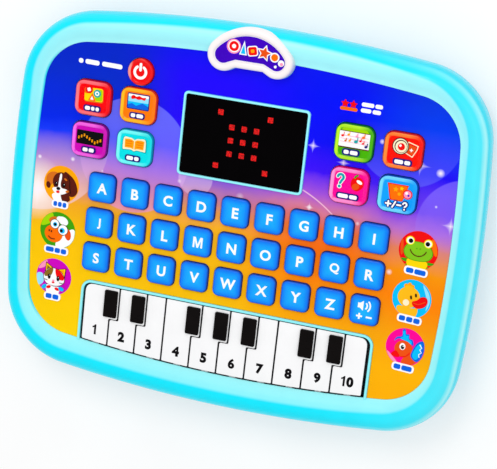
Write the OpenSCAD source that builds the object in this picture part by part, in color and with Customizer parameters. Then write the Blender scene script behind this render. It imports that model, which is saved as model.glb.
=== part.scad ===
// Toy learning tablet with letter keys, a small piano and a dot display.
// X runs left to right, Y from the near edge to the far edge, Z up through the face.
// The origin is the centre of the footprint, on the table.

/* [Body] */
// Width of the case, left to right
body_w = 240; // [238:1:244]
// Depth of the case, near edge to far edge
body_d = 192; // [190:1:195]
// Height of the rim crest above the table
rim_h = 30; // [30:0.5:34]
// Radius of the case corners
corner_r = 38; // [34:1:42]
// Radius of the bulge along each side
bulge_r = 700; // [500:50:1200]
// Height of the parting line between the shells
parting_z = 12; // [9:0.5:13]
// Wall thickness of the shells
wall = 2.2; // [2:0.1:2.6]

/* [Face] */
// Width of the printed face film
face_w = 213.2; // [212:0.2:214]
// Depth of the printed face film
face_d = 159.8; // [159:0.2:160.6]
// Corner radius of the face film
face_corner_r = 24; // [20:1:28]
// How far the middle of the face lies beyond the middle of the case
face_y = 1.7; // [1:0.1:2.2]
// Depth of the face below the rim crest
face_drop = 3.2; // [2.4:0.1:3.6]
// Thickness of the printed film
film_t = 0.4; // [0.3:0.1:0.6]
// Thickness of the deck under the film
deck_t = 2; // [1.6:0.1:2.4]

/* [Letter keys] */
// Spacing of the letter keys along a row
key_pitch = 17.4; // [17.4:0.1:17.6]
// Spacing of the rows of letter keys
row_pitch = 17.92; // [17.8:0.02:18.1]
// Place of the middle letter row
middle_row_y = -12.37; // [-12.6:0.01:-12.1]
// Width of a letter key
key_w = 14.3; // [13.8:0.1:14.4]
// Depth of a letter key
key_d = 14.4; // [13.8:0.1:14.5]
// Corner radius of a letter key
key_corner_r = 3; // [2:0.5:4]
// How far a button stands above the film
key_rise = 1.8; // [1.4:0.1:2.2]
// How far a button travels when pressed
key_travel = 1.2; // [0.8:0.1:1.2]

/* [Function buttons] */
// Width of a function button
function_w = 19; // [18:0.2:19.4]
// Depth of a function button
function_d = 17.6; // [17:0.2:17.8]
// Place of the inner column of function buttons
function_inner_x = 54.5; // [54:0.1:55]
// Place of the outer column of function buttons
function_outer_x = 78.2; // [78:0.1:79]
// Place of the upper row of function buttons
function_upper_y = 49.5; // [49.3:0.1:50.1]
// Place of the lower row of function buttons
function_lower_y = 28.5; // [28.1:0.1:28.7]
// Diameter of the power button
power_dia = 13.3; // [12:0.1:13.6]

/* [Piano] */
// Width of the whole keyboard
piano_w = 147.4; // [146.6:0.2:148.2]
// Far edge of the piano keys
piano_far_y = -44.2; // [-44.6:0.1:-43.8]
// Place of the step in the sides of the white keys
piano_step_y = -60.8; // [-61.6:0.1:-60.2]
// Sideways size of that step
piano_step = 4.6; // [4.2:0.05:4.8]
// Radius of the two far corners of the keyboard
piano_corner_r = 4; // [3:0.5:5]
// Gap at each end of the keyboard
piano_end_gap = 1; // [0.6:0.1:1.2]
// Width of a black key
black_w = 6.9; // [6.5:0.1:7.2]
// Depth of a black key
black_d = 14; // [13.5:0.1:14.4]

/* [Screen and badge] */
// Width of the dark display window
window_w = 61; // [60:0.2:61.6]
// Depth of the dark display window
window_d = 38.7; // [38:0.1:39.4]
// Place of the middle of the display
window_y = 40.2; // [40:0.1:40.4]
// Radius of the two lower lobes of the badge
badge_lobe_r = 8; // [7.5:0.1:8.4]
// Place of the far edge of the badge
badge_far_y = 96; // [95.4:0.1:96]

/* [Batteries] */
// Diameter of an AA cell
cell_dia = 14.5; // [14.5:0.1:14.5]
// Length of an AA cell with its button
cell_len = 50.5; // [50.5:0.1:50.5]
// Thickness of the battery door and the floor
floor_t = 2.4; // [2.4:0.1:2.6]

/* [Fits] */
// Gap all round a moving button
button_gap = 0.3; // [0.25:0.05:0.35]
// Gap between parts that are laid together loosely
loose_gap = 0.3; // [0.25:0.05:0.35]

/* [Hidden] */
$fn = 48;
LETTERS = "ABCDEFGHIJKLMNOPQRSTUVWXYZ";
COLUMNS = 9;
PIANO_KEYS = 10;
FUNCTIONS = ["blocks", "picture", "led", "book", "sheet", "disc", "question", "sums"];
STEPPED = [1, 2, 4, 5, 6, 8, 9];

// Heights, from the crest of the rim down to the table
face_z = rim_h - face_drop;
deck_top = face_z - film_t;
deck_z = deck_top - deck_t;
key_top = face_z + key_rise;
lip_t = 1.2;
lip_top = deck_z - loose_gap;
lip_z = lip_top - lip_t;
lip_out = 0.9;
mat_t = 0.8;
dome_t = 0.5;
dome_dia = 7;
dome_top = lip_z - key_travel - loose_gap;
mat_z = dome_top - dome_t - mat_t;
board_t = 1.4;
board_z = mat_z - board_t;

// Outline: arcs that bulge along the sides, joined by a corner arc
SIDE_STEPS = 4;
CORNER_STEPS = 8;
END_STEPS = 5;

function arc(cx, cy, r, a0, a1, n, first = 0) =
    [for (i = [first:n]) let (a = a0 + (a1 - a0) * i / n) [cx + r * cos(a), cy + r * sin(a)]];

function quarter(a, b, r, c) = let (
    side_x = a - r,
    end_y = b - r,
    apart = sqrt(side_x * side_x + end_y * end_y),
    lift = sqrt((r - c) * (r - c) - apart * apart / 4),
    cx = side_x / 2 - end_y * lift / apart,
    cy = end_y / 2 - side_x * lift / apart,
    a1 = atan2(cy, cx - side_x),
    a2 = atan2(cy - end_y, cx)
) concat(
    arc(side_x, 0, r, 0, a1, SIDE_STEPS),
    arc(cx, cy, c, a1, a2, CORNER_STEPS, 1),
    arc(0, end_y, r, a2, 90, END_STEPS, 1)
);

// The same quarter in all four corners, counter-clockwise, with no point twice
function outline(a, b, r, c) = let (q = quarter(a, b, r, c), n = len(q) - 1) concat(
    [for (i = [0:n - 1]) q[i]],
    [for (i = [n:-1:1]) [-q[i].x, q[i].y]],
    [for (i = [0:n - 1]) [-q[i].x, -q[i].y]],
    [for (i = [n:-1:1]) [q[i].x, -q[i].y]]
);

// Outline part of the way, t, from the outside of the case (0) to the edge of the film (1)
function mix(p, q, t) = p + (q - p) * t;
function case_outline(t) = let (
    half_w = mix(body_w, face_w, t) / 2,
    half_d = mix(body_d, face_d, t) / 2,
    r = mix(corner_r, face_corner_r, t)
) [for (p = outline(half_w, half_d, bulge_r, r)) [p.x, p.y + face_y * t]];
wall_t = wall / ((body_w - face_w) / 2);

// Where the outside of the shells meets the parting line, as a part of the way to the film
parting_t = 0.05;

// Near edge of the film at a given x
function near_edge(x) = face_y + bulge_r - face_d / 2 - sqrt(bulge_r * bulge_r - x * x);

function round_rect(w, d, r, n = 4) = concat(
    arc(w / 2 - r, d / 2 - r, r, 0, 90, n),
    arc(r - w / 2, d / 2 - r, r, 90, 180, n),
    arc(r - w / 2, r - d / 2, r, 180, 270, n),
    arc(w / 2 - r, r - d / 2, r, 270, 360, n)
);

// Places of the letter keys: i counts from A, and the volume key comes last
function key_x(i) = (i % COLUMNS - (COLUMNS - 1) / 2) * key_pitch;
function key_y(i) = middle_row_y + (1 - floor(i / COLUMNS)) * row_pitch;
VOLUME = len(LETTERS);

// Places of the function buttons: four at the left, then four at the right
function function_x(i) = let (
    left = i < 4,
    outer = left ? i % 2 == 0 : i % 2 == 1
) (left ? -1 : 1) * (outer ? function_outer_x : function_inner_x);
function function_y(i) = i % 4 < 2 ? function_upper_y : function_lower_y;
function_corner_r = 4.5;
power_x = -54.9;
power_y = 66.2;

// Piano keys: lower boundaries are evenly spaced, and most upper ones step to the right.
// The first key is a little narrower than the rest and the last a little wider.
piano_pitch = 14.62;
first_less = 0.42;
hinge_pitch = 14.7;
piano_gap = 0.3;
piano_rise = 1.2;
piano_top = face_z + piano_rise;
piano_z = deck_z + loose_gap;
black_rise = 1.4;
black_shift = 0.35;
black_back = 1.3;
function piano_low_x(i) =
    i == 0 ? -piano_w / 2
    : i == PIANO_KEYS ? piano_w / 2
    : -piano_w / 2 + i * piano_pitch - first_less;
function steps(i) = len(search(i, STEPPED)) > 0;
function piano_high_x(i) = piano_low_x(i) + (steps(i) ? piano_step : 0);
function piano_mid_x(i) = (i + 0.5 - PIANO_KEYS / 2) * hinge_pitch;

// Hinge of a piano key: a bead on a tab, in a pocket under the rim
bead_r = 1;
bead_len = 4.6;
tab_w = 3.4;
tab_half_t = 0.6;
hinge_out = 2.2;
hinge_z = deck_z + 0.9;
function hinge_y(i) = near_edge(piano_mid_x(i)) - hinge_out;

// Hook at the far end of a piano key, kept under the deck
hook_w = 6;
hook_back = 3;
hook_out = 1.6;
function piano_hook_x(i) = (piano_high_x(i) + piano_high_x(i + 1)) / 2;

// Badge: two lobes under a wide arc
badge_z = face_z - 1.4;
badge_top = rim_h + 2;
badge_lobe_x = 13.3;
badge_lobe_y = 81.7;
badge_lobe_back = badge_far_y - badge_lobe_y;
badge_arc_r = (pow(badge_lobe_back, 2) + pow(badge_lobe_x, 2) - pow(badge_lobe_r, 2))
    / (2 * (badge_lobe_back - badge_lobe_r));
badge_arc_y = badge_far_y - badge_arc_r;
badge_waist_x = 7;
badge_waist_y = 76.1;
function badge_outline(grow) = let (
    meet = atan2(badge_lobe_y - badge_arc_y, badge_lobe_x),
    lobe = arc(badge_lobe_x, badge_lobe_y, badge_lobe_r + grow, -120, meet, 10),
    top = arc(0, badge_arc_y, badge_arc_r + grow, meet, 90, 6, 1),
    half = concat([[badge_waist_x, badge_waist_y - grow]], lobe, top)
) concat(half, [for (i = [len(half) - 2:-1:0]) [-half[i].x, half[i].y]]);

// Screen: a collar round a window that rests on a ledge
collar = 1.3;
collar_rise = 1;
window_rise = 0.5;
window_z = deck_top - 1;
window_ledge = 1.5;
window_gap = 0.15;
led_pitch_x = 6.25;
led_pitch_y = 6.55;
led_columns = 9;
led_rows = 5;
led_side = 3.4;
matrix_w = led_columns * led_pitch_x;
matrix_d = led_rows * led_pitch_y;

// Battery bay, its door and the hinge bead along the door's near edge
bay_len = cell_len + 6;
cell_gap = 0.6;
bay_w = 3 * cell_dia + 4 * cell_gap;
bay_wall = 1.6;
bay_top = floor_t + loose_gap + cell_dia + 0.2;
bay_roof = 1;
cell_z = floor_t + loose_gap + cell_dia / 2;
door_z = 0.2;
door_half_t = (floor_t - door_z) / 2;
door_axis_z = door_z + door_half_t;
door_axis_y = -bay_w / 2 + loose_gap + door_half_t;
door_bead_r = door_half_t - 0.1;
door_pin_r = 0.8;
door_pin_hole_r = 0.9;
door_pin_len = 1.3;
door_far_y = bay_w / 2 - loose_gap;
door_tab_w = 12;
door_tab_d = 9;
door_screw_y = door_far_y + door_tab_d / 2;
door_screw_head_z = 1.4;
door_screw_tip_z = 6;
door_boss_top = 8;

// Screws: self-tapping, with a clear hole in the rear boss and a pilot hole above
screw_places = [for (x = [-1, 1], y = [-1, 0, 1]) [x * (y == 0 ? 102 : 98), y * 70]];
screw_r = 1.3;
screw_pilot_r = 1.35;
screw_clear_r = 1.7;
screw_head_r = 2.6;
screw_head_t = 1.8;
screw_sink_r = 3;
screw_sink = 5;
screw_boss_r = 4;
screw_split_z = 14;
screw_len = 14;

// Posts that carry the board
post_places = [for (x = [-84, 84], y = [-61, 68]) [x, y]];
post_r = 3;
post_pin_r = 1.3;
post_hole_r = 1.6;
post_pin_top = mat_z + 0.6;
board_w = 180;
board_near_y = -66;
board_far_y = 73;

// Speaker, in a ring on the floor over a pattern of sound holes
speaker_y = -54;
speaker_r = 18;
speaker_h = 8;
speaker_ring_t = 1.5;
speaker_ring_top = floor_t + 3;
sound_hole_r = 1.1;
sound_ring = 5;

cut = 1;

// A ring swept round the case: its section is a list of [share of the rim, height]
module rim_ring(section) {
    loops = [for (s = section) case_outline(s[0])];
    n = len(loops[0]);
    m = len(section);
    points = [for (k = [0:m - 1], i = [0:n - 1]) [loops[k][i].x, loops[k][i].y, section[k][1]]];
    faces = [for (k = [0:m - 1], i = [0:n - 1]) let (a = k * n, b = (k + 1) % m * n, j = (i + 1) % n)
        each [[a + i, b + i, a + j], [a + j, b + i, b + j]]];
    polyhedron(points, faces);
}

module prism(points, z0, z1) {
    translate([0, 0, z0]) linear_extrude(z1 - z0) polygon(points);
}

module block(x0, x1, y0, y1, z0, z1) {
    translate([x0, y0, z0]) cube([x1 - x0, y1 - y0, z1 - z0]);
}

module rod(x, y, z0, z1, r) {
    translate([x, y, z0]) cylinder(h = z1 - z0, r = r);
}

module rod_along_x(x0, x1, y, z, r) {
    translate([x0, y, z]) rotate([0, 90, 0]) cylinder(h = x1 - x0, r = r);
}

module window_prism(grow, r, z0, z1) {
    translate([0, window_y, 0])
        prism(round_rect(window_w + 2 * grow, window_d + 2 * grow, r), z0, z1);
}

// Holes for every button, each larger all round by grow
module button_holes(z0, z1, grow) {
    for (i = [0:VOLUME])
        translate([key_x(i), key_y(i), 0])
            prism(round_rect(key_w + 2 * grow, key_d + 2 * grow, key_corner_r + grow), z0, z1);
    for (i = [0:len(FUNCTIONS) - 1])
        translate([function_x(i), function_y(i), 0])
            prism(round_rect(function_w + 2 * grow, function_d + 2 * grow, function_corner_r + grow),
                z0, z1);
    rod(power_x, power_y, z0, z1, power_dia / 2 + grow);
}

// Plan of the whole keyboard opening, with a curved near edge that is moved outwards by past
function piano_area(grow, past) = let (
    half_w = piano_w / 2 + piano_end_gap + grow,
    far_y = piano_far_y + button_gap + grow,
    r = piano_corner_r + grow
) concat(
    [for (i = [0:PIANO_KEYS]) let (x = mix(-1, 1, i / PIANO_KEYS) * half_w) [x, near_edge(x) - past]],
    arc(half_w - r, far_y - r, r, 0, 90, 5),
    arc(r - half_w, far_y - r, r, 90, 180, 5)
);

module deck_plate() {
    past_rim = 3;
    difference() {
        prism(case_outline(0.93), deck_z, deck_top);
        button_holes(deck_z - cut, deck_top + cut, button_gap);
        prism(piano_area(0, past_rim), deck_z - cut, deck_top + cut);
        window_prism(-window_ledge, 2, deck_z - cut, deck_top + cut);
    }
}

module screen_collar() {
    difference() {
        window_prism(collar, 3, window_z, face_z + collar_rise);
        window_prism(window_gap, 2, window_z - cut, face_z + collar_rise + cut);
    }
}

// Frame round the keyboard on three sides
module piano_frame() {
    frame_rise = 0.8;
    frame_past = 0.6;
    difference() {
        prism(piano_area(collar, frame_past), deck_top - cut, face_z + frame_rise);
        prism(piano_area(0, frame_past + cut), deck_z - cut, rim_h);
    }
}

// Pocket for the hinge bead of a piano key, with a slot for its tab
module hinge_pocket(i) {
    gap = 0.3;
    slot_past = 1.2;
    x = piano_mid_x(i);
    edge = near_edge(x);
    block(x - bead_len / 2 - gap, x + bead_len / 2 + gap, hinge_y(i) - bead_r - gap, edge + cut,
        deck_z - cut, hinge_z + bead_r + gap);
    block(x - tab_w / 2 - gap, x + tab_w / 2 + gap, edge - slot_past, edge + cut, hinge_z, rim_h);
}

module front_shell() {
    inner = parting_t + wall_t;
    section = [
        [1, deck_z - 0.3], [0.8, face_z - 1.4], [0.5, rim_h - 2.6], [0.35, rim_h - 2.6],
        [wall_t + 0.07, rim_h - 5.4], [wall_t, rim_h - 9.5], [wall_t + 0.02, parting_z + 2.5],
        [inner, parting_z], [parting_t, parting_z], [0.02, parting_z + 2.5],
        [0, rim_h - 9.5], [0.06, rim_h - 5.2], [0.17, rim_h - 2.3],
        [0.3, rim_h - 0.6], [0.42, rim_h], [0.55, rim_h - 0.35], [0.7, face_z + 2], [0.86, face_z + 0.8],
        [1, face_z]
    ];
    color("darkturquoise") difference() {
        union() {
            difference() {
                union() {
                    rim_ring(section);
                    deck_plate();
                    prism(badge_outline(-1), deck_z - 0.4, badge_z);
                }
                prism(badge_outline(0.15), badge_z, badge_top + cut);
                window_prism(window_gap, 2, window_z, deck_top + cut);
            }
            screen_collar();
            piano_frame();
            for (p = screw_places)
                rod(p.x, p.y, screw_split_z, deck_z + 0.5, screw_boss_r);
        }
        for (i = [0:PIANO_KEYS - 1])
            hinge_pocket(i);
        for (p = screw_places)
            rod(p.x, p.y, screw_split_z - cut, deck_z - cut, screw_pilot_r);
    }
}

module battery_bay() {
    block(-bay_len / 2 - bay_wall, bay_len / 2 + bay_wall, -bay_w / 2 - bay_wall, bay_w / 2 + bay_wall,
        floor_t / 2, bay_top + bay_roof);
    rod(0, door_screw_y, floor_t + loose_gap, door_boss_top, screw_boss_r);
}

module rear_shell() {
    section = [
        [0.62, 0.4], [0.44, 1.1], [0.27, 3.4], [0.13, 7.6], [parting_t, parting_z],
        [parting_t + wall_t, parting_z], [0.13 + wall_t, 7.9], [0.27 + wall_t, 4.6], [0.55, 3], [0.62, 2]
    ];
    color("darkturquoise") difference() {
        union() {
            rim_ring(section);
            prism(case_outline(0.57), 0, floor_t);
            battery_bay();
            for (p = screw_places)
                rod(p.x, p.y, floor_t / 2, screw_split_z, screw_boss_r);
            for (p = post_places) {
                rod(p.x, p.y, floor_t / 2, board_z, post_r);
                rod(p.x, p.y, board_z - cut, post_pin_top, post_pin_r);
            }
            difference() {
                rod(0, speaker_y, floor_t / 2, speaker_ring_top, speaker_r + loose_gap + speaker_ring_t);
                rod(0, speaker_y, floor_t, speaker_ring_top + cut, speaker_r + loose_gap);
            }
        }
        block(-bay_len / 2, bay_len / 2, -bay_w / 2, bay_w / 2, -cut, bay_top);
        block(-door_tab_w / 2 - loose_gap, door_tab_w / 2 + loose_gap,
            0, door_far_y + door_tab_d + loose_gap,
            -cut, floor_t + loose_gap);
        rod(0, door_screw_y, 0, door_boss_top - cut, screw_r + loose_gap);
        for (side = [-1, 1])
            rod_along_x(side * bay_len / 2 - (side < 0 ? bay_wall : cut), side * bay_len / 2 + cut,
                door_axis_y, door_axis_z, door_pin_hole_r);
        for (p = screw_places) {
            rod(p.x, p.y, -cut, screw_sink, screw_sink_r);
            rod(p.x, p.y, -cut, screw_split_z + cut, screw_clear_r);
        }
        rod(0, speaker_y, -cut, floor_t + cut, sound_hole_r);
        for (ring = [1:2], i = [0:6 * ring - 1])
            rod(ring * sound_ring * cos(60 * i / ring), speaker_y + ring * sound_ring * sin(60 * i / ring),
                -cut, floor_t + cut, sound_hole_r);
    }
}

module face_film() {
    edge_gap = 0.15;
    hole_gap = 0.6;
    past_edge = 3;
    color("mediumslateblue") difference() {
        translate([0, face_y, 0])
            prism(outline(face_w / 2 - edge_gap, face_d / 2 - edge_gap, bulge_r, face_corner_r - edge_gap),
                deck_top, face_z);
        button_holes(deck_top - cut, face_z + cut, hole_gap);
        window_prism(collar + edge_gap, 3, deck_top - cut, face_z + cut);
        prism(piano_area(collar + edge_gap, past_edge), deck_top - cut, face_z + cut);
        prism(badge_outline(0.3), deck_top - cut, face_z + cut);
    }
}

module screen_window() {
    color([0.03, 0.02, 0.03]) window_prism(0, 2, window_z, face_z + window_rise);
}

module badge() {
    frame = 3.9;
    recess = 0.5;
    color("white") difference() {
        prism(badge_outline(0), badge_z, badge_top);
        prism(badge_outline(-frame), badge_top - recess, badge_top + cut);
    }
}

module battery_door() {
    half_len = bay_len / 2 - loose_gap;
    color("turquoise") difference() {
        union() {
            block(-half_len, half_len, door_axis_y, door_far_y, door_z, floor_t);
            block(-door_tab_w / 2, door_tab_w / 2, door_far_y - cut, door_far_y + door_tab_d,
                door_z, floor_t);
            rod_along_x(-half_len, half_len, door_axis_y, door_axis_z, door_bead_r);
            rod_along_x(-half_len - door_pin_len, half_len + door_pin_len,
                door_axis_y, door_axis_z, door_pin_r);
        }
        rod(0, door_screw_y, -cut, door_screw_head_z, screw_head_r + loose_gap);
        rod(0, door_screw_y, -cut, floor_t + cut, screw_r + 0.1);
    }
}

module door_screw() {
    color("silver") {
        rod(0, door_screw_y, door_z + 0.1, door_screw_head_z, screw_head_r);
        rod(0, door_screw_y, door_screw_head_z, door_screw_tip_z, screw_r);
    }
}

module case_screws() {
    color("silver") for (p = screw_places) {
        rod(p.x, p.y, screw_sink - screw_head_t, screw_sink, screw_head_r);
        rod(p.x, p.y, screw_sink, screw_sink + screw_len, screw_r);
    }
}

module board_prism(grow, z0, z1) {
    translate([0, (board_near_y + board_far_y) / 2, 0])
        prism(round_rect(board_w + 2 * grow, board_far_y - board_near_y + 2 * grow, 4), z0, z1);
}

module main_board() {
    color("darkgreen") difference() {
        board_prism(0, board_z, mat_z);
        for (p = post_places)
            rod(p.x, p.y, board_z - cut, mat_z + cut, post_hole_r);
    }
}

module led_matrix() {
    led_t = 0.5;
    half = led_side / 2;
    top = deck_z - loose_gap;
    color("dimgray") {
        translate([0, window_y, 0])
            prism(round_rect(matrix_w, matrix_d, 1), mat_z, top - led_t);
        for (i = [0:led_columns - 1], j = [0:led_rows - 1]) {
            x = (i - (led_columns - 1) / 2) * led_pitch_x;
            y = (j - (led_rows - 1) / 2) * led_pitch_y + window_y;
            block(x - half, x + half, y - half, y + half, top - led_t, top);
        }
    }
}

module key_mat() {
    hole_r = 4.5;
    sheet_top = mat_z + mat_t;
    color("gainsboro") difference() {
        union() {
            board_prism(-1, mat_z, sheet_top);
            for (i = [0:VOLUME])
                rod(key_x(i), key_y(i), sheet_top, dome_top, dome_dia / 2);
            for (i = [0:len(FUNCTIONS) - 1])
                rod(function_x(i), function_y(i), sheet_top, dome_top, dome_dia / 2);
            for (i = [0:PIANO_KEYS - 1])
                rod(piano_hook_x(i), piano_far_y - hook_back / 2, sheet_top, dome_top, hook_w / 2);
            rod(power_x, power_y, sheet_top, dome_top, dome_dia / 2);
        }
        translate([0, window_y, 0])
            prism(round_rect(matrix_w + 1, matrix_d + 1, 1.5), mat_z - cut, dome_top + cut);
        for (p = post_places)
            rod(p.x, p.y, mat_z - cut, sheet_top + cut, hole_r);
    }
}

module speaker() {
    frame_t = 2.5;
    magnet_r = 9;
    color("dimgray") {
        rod(0, speaker_y, floor_t, floor_t + frame_t, speaker_r);
        rod(0, speaker_y, floor_t + frame_t, floor_t + speaker_h, magnet_r);
    }
}

module batteries() {
    button_t = 1.5;
    button_r = 2.7;
    color("dimgray") for (j = [-1:1]) {
        turn = j == 0 ? -1 : 1;
        y = j * (cell_dia + cell_gap);
        back = -turn * cell_len / 2;
        front = turn * (cell_len / 2 - button_t);
        rod_along_x(min(back, front), max(back, front), y, cell_z, cell_dia / 2);
        rod_along_x(min(front, turn * cell_len / 2), max(front, turn * cell_len / 2), y, cell_z, button_r);
    }
}

module battery_contacts() {
    plate_t = 0.4;
    plate_half = 5;
    spring_r = 3.2;
    reach = (bay_len - cell_len) / 2 - loose_gap;
    color("silver") for (j = [-1:1], side = [-1, 1]) {
        y = j * (cell_dia + cell_gap);
        wall_x = side * bay_len / 2;
        plate_x = wall_x - side * plate_t;
        tip_x = wall_x - side * reach;
        block(min(wall_x, plate_x), max(wall_x, plate_x), y - plate_half, y + plate_half,
            cell_z - plate_half, cell_z + plate_half);
        rod_along_x(min(plate_x, tip_x), max(plate_x, tip_x), y, cell_z, spring_r);
    }
}

// A button: a cap over a lip that keeps it under the deck
module button_solid(x, y, w, d, r) {
    translate([x, y, 0]) {
        prism(round_rect(w + 2 * lip_out, d + 2 * lip_out, r + lip_out), lip_z, lip_top);
        prism(round_rect(w, d, r), lip_top, key_top);
    }
}

module letter_key(i) {
    color("dodgerblue") button_solid(key_x(i), key_y(i), key_w, key_d, key_corner_r);
}

module function_button(i) {
    colours = ["crimson", "darkorange", "darkmagenta", "teal",
               "yellowgreen", "red", "hotpink", "royalblue"];
    color(colours[i]) button_solid(function_x(i), function_y(i), function_w, function_d, function_corner_r);
}

// Round, with an ear at each side in place of a lip all round
module power_button() {
    ear_half = 3;
    reach = power_dia / 2 + lip_out;
    color("red") {
        block(power_x - reach, power_x + reach, power_y - ear_half, power_y + ear_half, lip_z, lip_top);
        rod(power_x, power_y, lip_z, key_top, power_dia / 2);
    }
}

// A black key stands on the white key at its left, so each pair is one moulding
module piano_key(n) {
    i = n - 1;
    front_gap = 0.4;
    low = [piano_low_x(i) + piano_gap, piano_low_x(n) - piano_gap];
    high = [piano_high_x(i) + piano_gap, piano_high_x(n) - piano_gap];
    wing_y = piano_step_y + piano_gap / 2;
    notch_y = piano_step_y - piano_gap / 2;
    mid = piano_mid_x(i);
    hook_x = piano_hook_x(i);
    r = piano_corner_r;
    far_right = n == PIANO_KEYS ? arc(high[1] - r, piano_far_y - r, r, 0, 90, 5) : [[high[1], piano_far_y]];
    far_left = n == 1 ? arc(high[0] + r, piano_far_y - r, r, 90, 180, 5) : [[high[0], piano_far_y]];
    plan = concat(
        [for (x = [low[0], mid, low[1]]) [x, near_edge(x) + front_gap]],
        [[low[1], wing_y], [high[1], wing_y]],
        far_right,
        far_left,
        [[high[0], notch_y], [low[0], notch_y]]
    );
    black_x = piano_low_x(n) + black_shift;
    black_far_y = piano_far_y - black_back;
    color("white") {
        prism(plan, piano_z, piano_top);
        block(mid - tab_w / 2, mid + tab_w / 2, hinge_y(i), near_edge(mid) + 2,
            hinge_z - tab_half_t, hinge_z + tab_half_t);
        rod_along_x(mid - bead_len / 2, mid + bead_len / 2, hinge_y(i), hinge_z, bead_r);
        block(hook_x - hook_w / 2, hook_x + hook_w / 2, piano_far_y - hook_back, piano_far_y + hook_out,
            lip_z, lip_top);
        block(hook_x - hook_w / 2, hook_x + hook_w / 2, piano_far_y - hook_back, piano_far_y - 0.5,
            lip_top, piano_z + cut);
    }
    if (steps(n))
        color("black")
            block(black_x - black_w / 2, black_x + black_w / 2, black_far_y - black_d, black_far_y,
                piano_top - 0.2, piano_top + black_rise);
}

front_shell();
rear_shell();
face_film();
screen_window();
badge();
battery_door();
door_screw();
main_board();
led_matrix();
speaker();
key_mat();
batteries();
battery_contacts();
case_screws();
power_button();
letter_key(VOLUME);  // volume_key
for (i = [0:len(LETTERS) - 1])
    letter_key(i);
for (i = [0:len(FUNCTIONS) - 1])
    function_button(i);
for (n = [1:PIANO_KEYS])
    piano_key(n);
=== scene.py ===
"""Looks for the toy learning tablet: shells, printed face, keys, piano, pictures and a plain studio."""

import math

import bmesh
import bpy
from mathutils import Matrix, Vector


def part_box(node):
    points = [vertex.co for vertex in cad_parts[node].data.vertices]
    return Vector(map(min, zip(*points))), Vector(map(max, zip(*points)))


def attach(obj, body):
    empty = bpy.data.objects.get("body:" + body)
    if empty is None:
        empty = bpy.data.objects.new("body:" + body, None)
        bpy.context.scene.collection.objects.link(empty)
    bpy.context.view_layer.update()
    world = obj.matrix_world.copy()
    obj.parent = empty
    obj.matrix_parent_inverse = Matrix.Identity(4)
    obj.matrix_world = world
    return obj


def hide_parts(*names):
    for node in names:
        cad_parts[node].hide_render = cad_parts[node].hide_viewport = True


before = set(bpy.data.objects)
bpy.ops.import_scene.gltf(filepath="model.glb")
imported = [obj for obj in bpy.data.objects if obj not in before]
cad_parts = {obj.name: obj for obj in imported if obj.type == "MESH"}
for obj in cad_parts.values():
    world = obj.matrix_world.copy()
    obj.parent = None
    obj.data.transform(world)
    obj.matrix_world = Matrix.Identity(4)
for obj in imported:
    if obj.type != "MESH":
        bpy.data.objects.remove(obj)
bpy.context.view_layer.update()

# ---------------------------------------------------------------- sizes, in millimetres

MM = 0.001
LETTERS = "ABCDEFGHIJKLMNOPQRSTUVWXYZ"
FUNCTIONS = ["blocks", "picture", "led", "book", "sheet", "disc", "question", "sums"]
PIANO_KEYS = 10
STEPPED = [1, 2, 4, 5, 6, 8, 9]
KEY_NODES = ["key_" + letter for letter in LETTERS] + ["volume_key"]


def box(node):
    """Lowest and highest corner of a CAD node, in millimetres."""
    lo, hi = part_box(node)
    return lo / MM, hi / MM


def middle(node):
    lo, hi = box(node)
    return (lo.x + hi.x) / 2, (lo.y + hi.y) / 2


def button_size(node):
    """Middle, width and depth of a button without its lip, and its lowest and highest level."""
    lo, hi = box(node)
    return *middle(node), hi.x - lo.x - 2 * LIP_OUT, hi.y - lo.y - 2 * LIP_OUT, lo.z, hi.z


LIP_OUT = 0.9
case_lo, case_hi = box("front_shell")
film_lo, film_hi = box("face_film")
window_lo, window_hi = box("screen_window")
badge_lo, badge_hi = box("badge")
door_lo, door_hi = box("battery_door")

FILM_GAP = 0.15
BODY_W = case_hi.x - case_lo.x
BODY_D = case_hi.y - case_lo.y
PARTING_Z = case_lo.z
FACE_W = film_hi.x - film_lo.x + 2 * FILM_GAP
FACE_D = 159.8
FACE_Y = 1.7
FACE_Z = film_hi.z
DECK_TOP = film_lo.z
DECK_Z = DECK_TOP - 2
CORNER_R = 38
FACE_CORNER_R = 24
BULGE_R = 700
LIP_T = 1.2
BUTTON_GAP = 0.3
KEY_CORNER_R = 3
FUNCTION_CORNER_R = 4.5
WINDOW_W = window_hi.x - window_lo.x
WINDOW_D = window_hi.y - window_lo.y
WINDOW_Y = (window_hi.y + window_lo.y) / 2
PIANO_W = 147.4
PIANO_PITCH = 14.62
PIANO_FIRST_LESS = 0.42
HINGE_PITCH = 14.7
PIANO_FAR_Y = -44.2
PIANO_STEP_Y = -60.8
PIANO_GAP = 0.3
PIANO_STEP = 4.6
PIANO_CORNER_R = 4
PIANO_TOP = FACE_Z + 1.2
SIGN_H = 5.3
FLOOR_T = 2.4
LAYER = 0.03
SCREW_SPOTS = [(side * x, y) for side in (-1, 1) for y, x in ((-70, 98), (0, 102), (70, 98))]
BOSS_R = 4
BOSS_SPLIT_Z = 14
DOOR_SCREW_Y = 27.15
BAY_W = 56.5
BAY_D = 45.9
CELL_R = 14.5 / 2
CELL_PITCH = 15.1

# ---------------------------------------------------------------- plan outlines


def arc(cx, cy, r, a0, a1, steps, first=0):
    """Points along an arc, angles in degrees."""
    points = []
    for i in range(first, steps + 1):
        a = math.radians(a0 + (a1 - a0) * i / steps)
        points.append((cx + r * math.cos(a), cy + r * math.sin(a)))
    return points


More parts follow.
